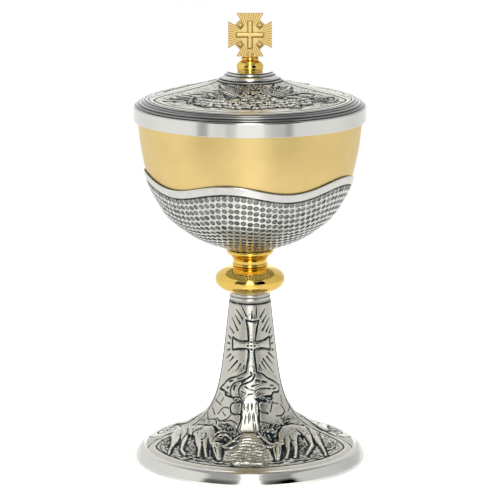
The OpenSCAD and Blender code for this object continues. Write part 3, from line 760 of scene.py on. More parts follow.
def draw_hill(relief):
    """The hill under the cross, a stream that winds down it, rocks, and the water that falls from it."""
    relief.swell([(232, 386), (246, 380), (262, 380), (276, 386)], [10, 13, 13, 10], 0.35)
    for line, width in [
        ([(248, 372), (244.4, 373.8), (239.8, 376.2), (231.6, 378.8), (226.6, 383.4), (222, 388.2)], 0.75),
        ([(222, 388.4), (226, 390.2), (227.6, 391.8), (228.2, 395), (236, 397.6)], 0.85),
        ([(259, 372), (263.6, 373.4), (266.8, 375.4), (269.8, 377.8), (275, 380.4), (281.4, 384.6)], 0.75),
        ([(281.6, 385), (281.2, 391.2), (275.8, 392.2), (273.8, 395.6), (268, 396.2)], 0.75),
        ([(253.2, 372.4), (253.8, 375.4), (248.2, 378.8), (237.6, 382.8), (233.6, 387.4), (232.8, 395.6)],
         0.7),
        ([(257, 374), (256.6, 376.8), (253, 381.4), (244, 384.8), (241.2, 390), (241.4, 395.6)], 0.7),
        ([(257.6, 391.2), (262.8, 388.4), (270.8, 388.4)], 0.6),
    ]:
        relief.cut(line, 1.2 * width, 0.32)
    for a, b, width in [
        ((240.4, 378.8), (245.8, 377), 0.6), ((232.4, 381.2), (235.8, 380.4), 0.8),
        ((230, 387.8), (231.4, 386.8), 0.8), ((236.8, 386.6), (238.8, 384.8), 0.9),
        ((236.2, 388.4), (237.2, 389.8), 0.6), ((243.8, 382.4), (247.2, 380.6), 0.8),
        ((229, 392.2), (230.8, 393.2), 0.7), ((258.8, 380.2), (262.4, 380.4), 0.8),
        ((264.8, 381.4), (268.6, 382), 0.9), ((254.6, 386.4), (260.8, 384.4), 0.7),
        ((247.4, 386.8), (250.4, 388.8), 0.6), ((272.8, 385.2), (275.6, 385.4), 0.6),
        ((275.6, 388.6), (278.4, 387.6), 0.6), ((243.8, 391.6), (247.4, 393.4), 0.6),
        ((271.6, 388.6), (273, 388.4), 0.6), ((250.4, 394.6), (255.6, 394), 0.35),
        ((252.4, 389.6), (256.4, 390.6), 0.3),
    ]:
        relief.cut([a, b], [1.45 * width, 0.8 * width], 0.26)
    relief.hollow([(236.2, 398.2), (240, 399.2), (245.6, 399.6)], [1.4, 3, 1.6], 0.35, 0.9)
    relief.hollow([(258.6, 399.6), (265, 399.4), (273.4, 397.6)], [1.4, 3.6, 2.6], 0.35, 0.9)
    relief.scrub((240.4, 399.4), (5, 2.6), 14, (1.2, 3), 0.6, (-0.5, 0.9), 0.4)
    relief.scrub((266, 399.6), (7, 3), 22, (1.2, 3.2), 0.6, (-0.9, 0.5), 0.4)
    for line, width in [
        ([(217.6, 398.8), (218.9, 400.7), (223.3, 404.6)], 0.6), ([(225.9, 397.5), (223.4, 401.4)], 0.7),
        ([(234.8, 402.6), (232.4, 407.6), (234.6, 413.4), (242.5, 414.2)], 0.95),
        ([(235.2, 402.8), (240.8, 402.2), (247.8, 402.2)], 0.9),
        ([(220.2, 413.5), (225.6, 407.4), (231, 407.9)], 0.75),
        ([(232.9, 414.8), (229.2, 418.6), (222.7, 420.5), (219, 417.6)], 0.65),
        ([(210, 412.2), (210.6, 418.6), (217.6, 418.8), (218.8, 423.6)], 0.65),
        ([(214.4, 407.1), (217, 414.1)], 0.6), ([(242.8, 414.6), (244, 421.4), (242.2, 429.6)], 0.7),
        ([(247.9, 402.2), (247.2, 409.2), (243.4, 413.6)], 0.7),
        ([(261.4, 409.4), (265, 412.2), (270.6, 413.2)], 1),
        ([(275, 401.8), (274, 406.6), (273, 411.6)], 0.8), ([(275.5, 402.4), (280.6, 403.4)], 0.6),
        ([(283.2, 404.2), (287.2, 410.2), (284.4, 414.8), (278.6, 415.6)], 0.8),
        ([(283.8, 395.2), (284, 399.6), (285.2, 403.4)], 0.6),
        ([(288.4, 395.2), (290.6, 400.6), (292.2, 406.4), (290.6, 411)], 0.5),
        ([(258.4, 403.4), (259.2, 414), (259.6, 424.6), (261.6, 431.4)], 0.9),
        ([(262.4, 421), (268.4, 422.4), (275.6, 424.6)], 0.6),
        ([(222.4, 392.6), (219, 398.2), (214.6, 405.6)], 0.45),
        ([(226, 421.2), (233.8, 420.2), (239.4, 423.8)], 0.5), ([(293.4, 412.4), (296.2, 417.6)], 0.45),
        ([(206, 409.4), (203.2, 415.2), (200.4, 420)], 0.45), ([(268.4, 404.2), (270.2, 407.6)], 0.4),
        ([(236.6, 404.8), (238.6, 409)], 0.3), ([(224.6, 411.6), (228, 415.8)], 0.3),
    ]:
        relief.cut(line, 0.8 * width, 0.32)
    relief.wipe([(252.4, 404), (252.2, 416), (251.2, 430)], [7.6, 8.2, 11])
    # The falling water is a flat facet, so that all of it shines at once.
    relief.swell([(252.4, 402), (252.2, 417), (251.4, 433)], [8, 8.6, 11], -0.4)
    relief.cut([(244.2, 402.6), (243.6, 412), (242.6, 421.6), (238.4, 431.4)], [0.8, 1, 0.9, 0.4], 0.34)
    relief.cut([(260.8, 402.8), (261.4, 413.6), (261.8, 423.4), (264.8, 431.4)], [0.8, 1, 0.9, 0.4], 0.34)
    for i in range(11):
        at = -6.6 + 1.32 * i
        for top, bottom in ((401.4, 413), (412, 424), (421, 435.4)):
            if relief.random.random() < 0.55:
                first, last = top + relief.random.uniform(-1, 2.4), bottom + relief.random.uniform(-3.4, 1.4)
                stroke = []
                for y in np.linspace(first, last, 4):
                    flare = 1 + 0.75 * max(0, (y - 410) / 24) ** 1.5
                    stroke.append((252.3 + at * flare + relief.random.uniform(-0.3, 0.3), y))
                relief.cut(stroke, [0.1, 0.36, 0.3, 0.1], 0.12, 0.8)


# The stags that drink, as strokes on the sheet. The left one has its head down at the water and its antlers
# reach to the middle. The right one is nearer to the middle, with its neck arched over its foreleg.
LEFT_STAG = {
    "hollows": [
        ([(216.4, 428), (220.4, 436.4), (226.8, 440.2), (233.4, 438.2)], [3, 6.4, 7.6, 3], 0.45, 0.75),
        ([(215.4, 450.6), (216, 456), (219.4, 459.6)], [2.2, 2.2, 1.2], 0.3, 0.4),
        ([(224.4, 450.8), (224.2, 456), (222, 460)], [2.2, 2, 1], 0.3, 0.4),
    ],
    "body": [
        ([(178.4, 434.2), (186, 431.2), (196, 430.4), (205.6, 431.6), (210.6, 433.6)],
         [6.2, 7.4, 7.6, 8, 7.6]),
        ([(180.4, 432.6), (178.6, 439.6), (175.8, 445.6), (172.4, 450.6), (171.8, 454)],
         [7.2, 5.4, 2.8, 1.7, 1.6]),
        ([(187.6, 434.4), (186.8, 441.4), (185.2, 446.4), (184.6, 450.4), (187.6, 454.6)],
         [5.2, 3.2, 2.2, 1.7, 1.6]),
        ([(203, 434.6), (202, 441.6), (202.4, 447.2), (202, 451.4), (201.4, 455.8)],
         [6.4, 4.4, 2.6, 1.9, 1.8]),
        ([(209, 436), (207.6, 443.4), (208, 449.2), (208.8, 456.4)], [5.4, 3, 2, 1.7]),
        ([(211.4, 430.6), (214.4, 436.2), (214.8, 442), (216.8, 446.4)], [6.4, 4.8, 3.4, 3.2]),
    ],
    "head": [
        ([(219.2, 445.8), (219.8, 451), (221.4, 458.6)], [4.9, 4.6, 2.9]),
        ([(217, 445.4), (212.8, 443.2)], [1.6, 0.9]), ([(221.6, 445), (225.4, 443.8)], [1.4, 0.8]),
    ],
    "cuts": [
        ([(207.4, 426.6), (204.2, 429), (199.4, 431.4), (195.8, 434.2), (194.2, 439.4)], [0.4, 0.9, 1, 0.8]),
        ([(191.4, 428.6), (190.2, 433.8), (187, 438.4), (184, 441.8)], [0.3, 0.75, 0.8, 0.6]),
        ([(204.6, 440.6), (208.4, 438.2), (209.6, 433.8)], [0.7, 0.6, 0.2]),
        ([(217.6, 448.4), (218.4, 452.4), (219.6, 456.4)], [0.5, 0.55, 0.2]),
        ([(222.6, 448.2), (222.7, 452), (222.6, 455.6)], [0.5, 0.5, 0.2]),
    ],
    "antlers": [
        ([(216.6, 443.2), (218.8, 438.2), (223.6, 434.6), (229.4, 435), (232.6, 438.2)],
         [1.7, 1.7, 1.6, 1.3, 0.78], 0.62),
        ([(217, 441), (220.2, 437.8), (224.6, 437.6)], [1.2, 1, 0.52], 0.56),
        ([(216.2, 437.4), (219.6, 432.8), (224.4, 430.9), (229.2, 431.4)], [1.2, 1.2, 1, 0.52], 0.53),
        ([(221.4, 446.4), (226.6, 446.2), (232.6, 443), (239, 438.4), (244.4, 434.8)],
         [1.8, 1.8, 1.7, 1.3, 0.65], 0.62),
        ([(231.8, 443.2), (233.6, 439.4), (233.6, 436)], [1.3, 1, 0.52], 0.56),
        ([(226, 447.4), (233.4, 447.9), (239.4, 445.4), (243, 443.2)], [1.3, 1.4, 1.2, 0.52], 0.56),
        ([(236.4, 441.2), (240.4, 441.4), (244.6, 439.4)], [1, 0.91, 0.39], 0.5),
    ],
    "hair": [
        ((194, 432), (15, 4.6), 90, (0.8, 2), 0.36, (1.1, 2.2), 1, 0.42),
        ((223.5, 436.5), (4.5, 3.5), 16, (1, 2.2), 0.6, (0.2, 2.9), 0.4),
    ],
    "dots": [
        ((201, 436.6), (5, 3.4), 22, 0.34, 0.1, 0.55), ((207, 430.2), (3.4, 2.6), 10, 0.34, 0.1, 0.55),
        ((186.4, 429.2), (6, 2.4), 12, 0.26, 0.07, 0.4),
    ],
}

RIGHT_STAG = {
    "hollows": [
        ([(268.4, 434), (274.2, 437.8), (280.6, 439.4)], [3.4, 7.8, 4.6], 0.45, 0.75),
        ([(274.4, 449.8), (275.8, 455.2), (278.8, 459.8)], [2.4, 2, 1.2], 0.3, 0.4),
        ([(285, 450), (285.4, 455), (283.8, 458.6)], [2.2, 2.6, 1.6], 0.3, 0.4),
    ],
    "body": [
        ([(290.4, 431.4), (297.6, 430), (306, 431.2), (312.4, 431)], [7.6, 7.6, 8, 6.6]),
        ([(311.6, 430.4), (316.6, 437.2), (321.4, 443.6), (325.2, 449.4), (328, 455)], [7.6, 6, 3.4, 2, 1.7]),
        ([(309.8, 435.4), (312.4, 441.4), (314.2, 445.8), (311.4, 450.2), (309, 454.2)],
         [5, 3, 2.2, 1.8, 1.6]),
        ([(294.2, 434.6), (296.2, 441.6), (297.8, 449), (297.4, 457)], [6.4, 3.8, 2.3, 1.9]),
        ([(289.4, 435.4), (289.4, 443.4), (290.4, 450.4), (288.6, 457.8)], [5.4, 3.2, 2.1, 1.8]),
        ([(288.4, 430.6), (284.6, 433.8), (283.6, 438.6), (283.4, 443.6)], [5.6, 4.2, 3.2, 3]),
    ],
    "head": [
        ([(279.4, 445.8), (279.4, 451), (279.9, 458.8)], [4.9, 4.6, 2.9]),
        ([(281.8, 445.2), (286.2, 444)], [1.6, 0.9]), ([(276.8, 445), (273, 443.8)], [1.4, 0.8]),
    ],
    "cuts": [
        ([(297, 429.8), (300.6, 432.6), (304.2, 435.4), (305, 439.6)], [0.4, 0.9, 1, 0.8]),
        ([(302.6, 424.6), (307.4, 427.4), (310.4, 431.4), (313.8, 437), (317.6, 443.4)],
         [0.3, 0.7, 0.8, 0.8, 0.7]),
        ([(290.8, 436.4), (292.6, 440), (295.2, 442)], [0.3, 0.7, 0.7]),
        ([(277.2, 448.4), (277.4, 452.2), (278.4, 456.2)], [0.5, 0.55, 0.2]),
        ([(282, 448.2), (281.8, 452.2), (281.4, 455.8)], [0.5, 0.5, 0.2]),
        ([(322.2, 431.6), (323.6, 437.8), (326.4, 443.8), (329.4, 452)], [0.3, 0.6, 0.7, 0.4]),
    ],
    "antlers": [
        ([(277.6, 446), (273.8, 444.6), (268.4, 440.8), (263.8, 436.4), (260.6, 432.4)],
         [1.7, 1.8, 1.7, 1.3, 0.65], 0.62),
        ([(269.4, 441.4), (267.8, 437.6), (266.8, 433.8)], [1.2, 1, 0.52], 0.53),
        ([(264.4, 437), (260.2, 436.6), (256.8, 434.6)], [1, 0.91, 0.39], 0.5),
        ([(276.8, 447), (270.8, 446.8), (264.6, 445.4), (259.2, 442.6)], [1.6, 1.6, 1.3, 0.65], 0.62),
        ([(268.6, 446.4), (264.2, 448.8), (259.8, 449.4)], [1, 0.91, 0.39], 0.5),
        ([(279.4, 441.8), (281.4, 442.6), (283, 443)], [1.2, 1, 0.65], 0.5),
    ],
    "hair": [
        ((302, 432), (15, 4.6), 90, (0.8, 2), 0.36, (0.9, 2), 1, 0.42),
        ((274.5, 437), (4.5, 3), 14, (1, 2.2), 0.6, (0.2, 2.9), 0.4),
    ],
    "dots": [
        ((298.6, 435.6), (4.4, 3.4), 20, 0.34, 0.1, 0.55), ((306, 428.6), (4, 2), 10, 0.3, 0.08, 0.45),
        ((291, 430), (3, 2.6), 9, 0.32, 0.1, 0.5),
    ],
}


def draw_stag(relief, strokes):
    """A stag: shadows under its neck and legs, limbs, a head, lines cut in them, antlers and a hairy coat."""
    for line, width, depth, dark in strokes["hollows"]:
        relief.hollow(line, width, depth, dark)
    relief.body(strokes["body"], height=0.95, edge=1.7, blend=0.4)
    relief.body(strokes["head"], height=1.15, edge=1, blend=0.25)
    for line, width in strokes["cuts"]:
        relief.cut(line, 1.35 * np.array(width), 0.32)
    for line, width, height in strokes["antlers"]:
        relief.ridge(line, width, height)
    for patch in strokes["hair"]:
        relief.scrub(*patch)
    for patch in strokes["dots"]:
        relief.punch(*patch)


POOL = [(438, 247, 256), (442, 245, 259), (446, 242, 262), (450, 237, 265), (454, 233, 268), (457.6, 231, 270)]


def draw_meadow(relief):
    """Bushes behind the stags, the pool they drink from, and stones and tufts along its shore."""
    for x, y, wide, tall, count in [
        (228.6, 427.6, 6, 4.2, 34), (238, 431, 5, 4, 22), (268.8, 428.2, 6.4, 4.2, 34),
        (278.4, 426.4, 5, 3.6, 22), (288, 419.2, 5, 3, 18), (168.6, 442.6, 5, 5, 22), (194, 448.4, 4, 4, 16),
        (304.2, 446.4, 4.6, 5, 18), (333.4, 444.8, 5, 5, 14),
    ]:
        relief.scrub((x, y), (0.8 * wide, 0.8 * tall), count, (0.8, 2.2), 0.7, dark=0.85)
    for y, first, last in POOL:
        relief.wipe([(first, y), (last, y)], 6.5)
    for y, first, last, height in [
        (437.6, 244, 258, 0.4), (440.4, 242, 260, 0.5), (443.6, 243, 262, 0.6), (446.8, 240, 264, 0.6),
        (449.8, 238, 266, 0.7), (452.6, 232, 268, 0.7), (455.4, 228, 270, 0.7), (458.2, 228, 270, 0.7),
        (461, 226, 252, 0.6),
    ]:
        x, start = first + relief.random.uniform(-2, 2), 0.3 * y + relief.random.uniform(-0.5, 0.5)
        while x < last - 3:
            stop = min(x + relief.random.uniform(8, 17), last + 1)
            wave = [(at, y + height * math.sin(0.42 * at + start)) for at in np.linspace(x, stop, 6)]
            relief.swell([(p[0], p[1] + 1.4) for p in wave], [0.5, 1.2, 1.5, 1.5, 1.2, 0.5], 0.3)
            relief.cut(wave, [0.15, 0.45, 0.6, 0.6, 0.45, 0.15], 0.16, 1)
            x = stop + relief.random.uniform(-1, 1.5)
    relief.swell([(237, 464), (243, 459.4), (250, 457.4), (262, 459)], [1.5, 3, 3, 2], 0.22)
    relief.swell([(236, 463.4), (250, 462.2), (264, 463.6)], [2, 3.2, 2], 0.62)
    shore = [(232, 466), (240.6, 465.2), (247.6, 464.4), (253.4, 465.2), (258.4, 466.4)]
    relief.cut(shore, [0.4, 0.9, 1, 0.9, 0.3], 0.3)
    relief.cut([(237.6, 461.8), (240.6, 458.8), (245.4, 457.8), (249, 458.2)], [0.3, 0.9, 0.9, 0.4], 0.3)
    relief.pebbles((258, 461), (8, 2.2), 16, 1, 0.4, 0.62)
    relief.pebbles((240, 463.6), (6, 1.2), 6, 1.3, 0.3, 0.4)
    for a, b, c in [
        ((194, 458.4), (202, 460.6), (210.8, 461.4)), ((177, 456), (184.8, 459.6), (192.6, 459.4)),
        ((186.2, 452.8), (191.8, 455.6), (197, 452.6)), ((300.4, 457.6), (307.8, 459.8), (315.6, 458)),
        ((312.2, 454.6), (318.2, 458.6), (325, 459.2)), ((268.6, 462.4), (276, 463.4), (285.4, 462.2)),
        ((214, 461.6), (219.8, 463.4), (227, 463.2)), ((163.4, 447.4), (167, 451.4), (171.4, 454.6)),
        ((297.8, 461), (303.2, 460), (307.4, 461.6)), ((328.6, 450.6), (333.4, 449.4), (337.2, 446.6)),
    ]:
        relief.cut([a, b, c], [0.25, 0.75, 0.25], 0.2)
        relief.ridge([(p[0], p[1] - 1) for p in (a, b, c)], [0.3, 0.9, 0.3], 0.2)
    relief.pebbles((194, 457.6), (6, 1.8), 7, 1.5, 0.3, 0.5)
    relief.pebbles((318, 456.4), (5, 1.8), 6, 1.5, 0.3, 0.5)
    relief.pebbles((303, 452.6), (3, 2), 4, 1.3, 0.3, 0.6)
    for x, y in [(331, 441), (334.6, 446), (336.4, 441.6), (166, 437), (171.4, 440), (164.6, 444.4)]:
        relief.punch((x, y), (3, 2.2), 7, 0.36, 0.12, 0.7)


def chased_foot(sizes):
    """The foot's relief: a cross with rays up the stem, and a hill, a pool and two stags on the flare."""
    seat, rim = mm(sizes.knop_at), mm(sizes.rim_height)
    z = rim + (seat - rim) * np.linspace(0, 1, 241) ** 1.8
    line = np.column_stack([foot_line(sizes, z), z])
    whole = np.hypot(*np.diff(line, axis=0).T).sum()
    flare = 46
    along = np.concatenate([np.linspace(0, flare, FLARE_ROWS), np.linspace(flare, whole, 166)[1:]])
    relief = Relief(line, along, columns=576, seed=4, shift=2.4)
    inside = frame_panel(relief, low=3.7, high=whole - 4.6, corner=12.5, strip=4.7, ground=0.22)
    # A line cut round the stem under its plain end, and a thin film on the plain corners of the flare.
    ring = np.clip(1 - ((relief.along[:, None] - (whole - 1.6)) / 0.24) ** 2, 0, 1)
    relief.height -= 0.14 * ring
    relief.darken(0.9 * ring ** 0.7)
    low_down = (relief.along > 0.4) & (relief.along < 16)
    relief.darken(0.22 * np.clip((-inside - 4.9) / 0.5, 0, 1) * low_down[:, None])
    for line in [
        [(331, 428.5), (337, 430.4), (342.4, 430.8)], [(344.6, 432.8), (349.8, 434.6), (353.8, 437.2)],
        [(163.8, 431), (158.4, 432.8), (154.2, 435)], [(153.8, 437.2), (150, 438.6), (147.4, 440.6)],
    ]:
        relief.cut(line, [0.4, 1.1, 0.4], 0.3)
    low = np.clip((40 - relief.along[:, None]) / 6, 0, 1)
    mat_ground(relief, inside, low, grain=(0.8, 2.4), depth=0.05, dark=0.5)
    draw_hill(relief)
    draw_stem_cross(relief)
    draw_meadow(relief)
    draw_stag(relief, LEFT_STAG)
    draw_stag(relief, RIGHT_STAG)
    # The relief dies away at both ends, where the pieces beside it begin.
    fade = np.clip(relief.along / 0.6, 0, 1) * np.clip((whole - relief.along) / 0.5, 0, 1)
    relief.height *= fade[:, None]
    relief.settle()
    # The water is rubbed bright once more.
    left_dark = 0.58
    for y, first, last in POOL + [(462.6, 239, 266)]:
        path = relief.path([(first, y), (last, y)], 2.2)
        cells, outside, _ = relief.near(path, 0.6)
        relief.dark[cells] *= np.clip(left_dark + outside, left_dark, 1)
    relief.height *= fade[:, None]
    return relief


def draw_lid_panel(relief):
    """Sprays of leaves, long feathered strokes to the sides, and a row of pebbles along the lower edge."""
    relief.hollow([(222, 96.5), (238, 92.5), (252, 96)], [2, 5, 3], 0.15, 0.8)
    relief.hollow([(262, 96), (276, 92), (292, 95)], [3, 5, 2], 0.15, 0.8)
    under = [(204, 103.6), (228, 106.6), (250, 107.6), (272, 106.6), (296, 102.6)]
    relief.hollow(under, [2, 4, 5, 4, 2], 0.15, 0.9)
    for root, tip, leaves, spread in [
        ((240, 96.6), (219.6, 87.4), 8, 0.9), ((240.6, 96.4), (236.6, 86.2), 6, 1),
        ((241.4, 96.6), (250.2, 88.4), 6, 0.9), ((272.4, 95.6), (258.4, 87), 7, 0.9),
        ((272.8, 95.4), (276.8, 84.8), 6, 1), ((273.6, 96), (291.6, 88.6), 7, 0.9),
        ((226.8, 100.6), (207.2, 95.2), 6, 0.8), ((283.8, 101.6), (300.4, 105.8), 6, 0.9),
        ((188.6, 103.2), (193.4, 97.2), 4, 0.9), ((312.6, 97.8), (327.4, 98.6), 5, 0.9),
        ((212.6, 104.6), (194.2, 102), 5, 0.7), ((262.4, 104.2), (252, 99.6), 5, 0.9),
    ]:
        relief.frond(root, tip, leaves, spread, 1, 0.42)
    for tip in [(236, 90.4), (239.2, 89), (243, 89.8), (233.8, 93.4), (246.4, 92.8)]:
        relief.cut([(240.6, 95.4), tip], [1.2, 0.9, 0.2], 0.4)
    for line, width in [
        ([(280.2, 96.4), (290, 94.6), (301, 92.8), (309.6, 93.2), (313.4, 94.6)], [0.4, 1.1, 1.2, 0.9, 0.3]),
        ([(254.2, 98.6), (258, 93), (263.4, 92.2)], [0.4, 1.2, 0.5]),
        ([(326, 97.4), (331, 96.8), (336.2, 98.4), (333.4, 101.4), (327.4, 101.8)],
         [0.5, 0.9, 0.9, 0.8, 0.4]),
    ]:
        relief.ridge(line, width, 0.35)
    for centre, spread, count in [
        ((246, 87.6), (8, 2.6), 22), ((262, 89.6), (8, 3), 22), ((280, 89.8), (7, 3), 18),
    ]:
        relief.scrub(centre, spread, count, (1.2, 2.6), 0.95, (-1.2, 1.2), 0.45)
    relief.pebbles((250, 98), (10, 5.6), 46, 1.7, 0.42, 0.75)
    relief.pebbles((266, 99.6), (6, 3.6), 22, 1.7, 0.42, 0.75)
    # Feathered strokes that lean outwards on both sides of the middle.
    for i in range(126):
        side = -1 if i % 2 else 1
        off = relief.random.uniform(22, 84)
        x = SHEET / 2 + side * off
        reach = 92.6 + 0.1 * off + relief.random.uniform(-4.2, 4.6) * (1.2 - off / 110)
        long = relief.random.uniform(5, 13)
        bend = relief.random.uniform(-0.5, 0.5)
        lean = side * 0.12 * long
        stroke = [(x, reach), (x + side * long / 2, reach + bend + lean / 2), (x + side * long, reach + lean)]
        relief.cut(stroke, [0.2, 0.8, 0.2], 0.14, 0.95)
    # Three rows of pebbles that sag towards the middle of the lower edge.
    for i in range(58):
        share = (i + relief.random.uniform(-0.3, 0.3)) / 57
        x = 198 + 112 * share
        dip = 108.4 - 5.2 * ((x - 251) / 62) ** 2
        for level in range(3):
            if relief.random.random() < 0.78:
                at = x + relief.random.uniform(-0.8, 0.8)
                y = dip - 0.6 - 2.3 * level + relief.random.uniform(-0.5, 0.5)
                wide = relief.random.uniform(1, 1.9)
                half, lean = 0.55 * wide, relief.random.uniform(-0.2, 0.2)
                ends = [(at - half, y), (at + half, y + lean)]
                relief.body([(ends, 1.3 * wide)], height=0.42, edge=0.55, blend=0.12)


def chased_lid(sizes):
    """The lid's relief: two framed panels with leaves, feathered strokes and pebbles."""
    edge, boss = mm(sizes.lid_width) / 2 - LID_BORDER, mm(sizes.boss_width) / 2
    r = edge + (boss - edge) * np.linspace(0, 1, 161)
    line = np.column_stack([r, dome_line(sizes, r)])
    whole = np.hypot(*np.diff(line, axis=0).T).sum()
    relief = Relief(line, np.linspace(0, whole, 125), columns=512, seed=9)
    inside = frame_panel(relief, low=1.9, high=whole - 1.7, corner=7, strip=5.2, ground=0.2)
    ring = np.clip(1 - ((relief.along[:, None] - (whole - 0.1)) / 0.35) ** 2, 0, 1)
    relief.darken(ring ** 0.7)
    mat_ground(relief, inside, 1, grain=(0.7, 3), depth=0.015, dark=0.4)
    draw_lid_panel(relief)
    fade = np.clip(relief.along / 0.5, 0, 1) * np.clip((whole - relief.along) / 0.5, 0, 1)
    shown = np.clip((inside + 0.1) / 0.5, 0, 1)
    kept = np.maximum(shown, np.clip(-relief.height / 0.1, 0, 1))
    relief.height *= fade[:, None] * kept
    relief.settle()
    # Even the bright parts of the lid keep a thin film.
    relief.darken(0.11)
    relief.height *= fade[:, None]
    return relief


def hammered_tree():
    """A calyx over a profile: a wavy upper edge, a plain border, and rows of hammered pockets along it."""
    tree, given = geometry_tree("Hammered calyx", {
        "Profile": "Object", "First angle": "Float", "Last angle": "Float", "Columns": "Int",
        "Mean edge": "Float", "Waves": "Int", "Wave rise": "Float", "Crest angle": "Float", "Border": "Float",
        "Pockets": "Int", "Row pitch": "Float", "Pocket width": "Float", "Pocket depth": "Float",
        "Scatter": "Float", "Seed": "Int", "Finish": "Material",
    })
    profile = node(tree, "GeometryNodeObjectInfo", {"Object": given["Profile"]}).outputs["Geometry"]
    pockets, border, pitch = given["Pockets"], given["Border"], given["Row pitch"]

    def edge_at(angle):
        """The length of the profile up to the wavy edge at an angle."""
        phase = node(tree, TIMES, [node(tree, LESS, [angle, given["Crest angle"]]), given["Waves"]])
        return node(tree, TIMES_PLUS, [node(tree, COSINE, [phase]), given["Wave rise"], given["Mean edge"]])

    # The pockets: rows that follow the wavy edge and are lined up at the front. A lower row is shorter and has
    # room for fewer pockets, so several of its points fall on one place.
    deep = node(tree, LESS, [given["Mean edge"], border])
    rows = node(tree, FLOOR, [node(tree, OVER, [deep, pitch])])
    line = node(tree, "GeometryNodeMeshLine", {"Count": node(tree, TIMES, [rows, pockets])}, mode="OFFSET")
    index = node(tree, "GeometryNodeInputIndex")
    down = node(tree, FLOOR, [node(tree, OVER, [index, pockets])])
    drop = node(tree, TIMES, [node(tree, PLUS, [down, 0.46]), pitch])
    left = node(tree, LESS, [1.0, node(tree, OVER, [drop, deep])])
    level = node(tree, TIMES, [left, deep])
    narrow = node(tree, ON_CURVE, {"Curves": profile, "Length": level}).outputs["Position"]
    widest = node(tree, ON_CURVE, {"Curves": profile, "Length": deep}).outputs["Position"]
    room = node(tree, OVER, [node(tree, SPLIT, [narrow]), node(tree, SPLIT, [widest])])
    in_row = node(tree, ROUND, [node(tree, TIMES, [room, pockets])])
    column = node(tree, OVER, [node(tree, "ShaderNodeMath", [index, pockets], operation="MODULO"), pockets])
    step = node(tree, ROUND, [node(tree, TIMES, [node(tree, LESS, [column, 0.5]), in_row])])
    turn = node(tree, TIMES_PLUS, [node(tree, OVER, [step, in_row]), 2 * math.pi, -math.pi / 2])
    level = node(tree, TIMES, [node(tree, LESS, [edge_at(turn), border]), left])
    spot = node(tree, ON_CURVE, {"Curves": profile, "Length": level}).outputs["Position"]
    spot = node(tree, SPLIT, [spot]).outputs
    chance = {
        0: node(tree, SCALE, {0: (-1.0, -1.0, -1.0), 3: given["Scatter"]}),
        1: node(tree, SCALE, {0: (1.0, 1.0, 1.0), 3: given["Scatter"]}),
        "ID": node(tree, TIMES_PLUS, [down, 1000.0, step]),
        "Seed": given["Seed"],
    }
    stray = node(tree, "FunctionNodeRandomValue", chance, data_type="FLOAT_VECTOR")
    at = turned_to(tree, turn, spot[0], spot[2])
    struck = node(tree, "GeometryNodeSetPosition", {"Geometry": line, "Position": at, "Offset": stray})

    # The skin: a grid whose rows take from the section their share of the profile, whether they are hammered,
    # and their distance from the profile.
    grid, place, _, part = section_grid(tree, given["Geometry"], given["Columns"])
    angle = node(tree, RANGE, [place[0], -0.5, 0.5, given["First angle"], given["Last angle"]])
    edge = edge_at(angle)
    along = node(tree, TIMES, [edge, part[0]])
    base = node(tree, ON_CURVE, {"Curves": profile, "Length": along}).outputs
    foot = node(tree, SPLIT, [base["Position"]]).outputs
    way = node(tree, SPLIT, [base["Tangent"]]).outputs
    lean = node(tree, TIMES, [way[0], -1.0])
    aim = {0: struck, 2: turned_to(tree, angle, foot[0], foot[2])}
    near = node(tree, "GeometryNodeProximity", aim, target_element="POINTS").outputs["Distance"]
    outer = node(tree, TIMES, [given["Pocket width"], 0.5])
    inner = node(tree, TIMES, [given["Pocket width"], 0.3])
    inside = node(tree, TIMES, [node(tree, SOFT_RANGE, [near, outer, inner, 0.0, 1.0]), part[1]])
    off_line = node(tree, ABSOLUTE, [node(tree, LESS, [node(tree, LESS, [edge, along]), border])])
    scored = node(tree, TIMES, [node(tree, SOFT_RANGE, [off_line, 0.0009, 0.0002, 0.0, 1.0]), part[1]])
    pushed = node(tree, TIMES, [inside, given["Pocket depth"]])
    sink = node(tree, LESS, [node(tree, TIMES, [scored, -0.00028]), pushed])
    r = node(tree, TIMES_PLUS, [way[2], sink, node(tree, TIMES_PLUS, [way[2], part[2], foot[0]])])
    z = node(tree, TIMES_PLUS, [lean, sink, node(tree, TIMES_PLUS, [lean, part[2], foot[2]])])
    # The oxide is thickest on the wall of a pocket and in the line under the border. The floors of the pockets
    # are darker towards the bottom of the calyx.
    wall = node(tree, TIMES, [inside, node(tree, LESS, [1.0, inside])])
    floor = node(tree, TIMES, [inside, node(tree, RANGE, [part[0], 0.45, 0.95, 0.88, 0.56])])
    oxide = node(tree, MOST, [node(tree, TIMES_PLUS, [wall, 2.4, floor]), scored], use_clamp=True)
    # Painted shade of the gap between the calyx and the cup: the top of the lip and its inside, which faces
    # the cup, are darkened.
    painted_gap_shade = node(tree, RANGE, [part[2], 0.0010, 0.0006, 0.0, 0.9])
    oxide = node(tree, MOST, [oxide, painted_gap_shade])
    finish_skin(tree, grid, oxide, turned_to(tree, angle, r, z), given["Finish"])
    return tree


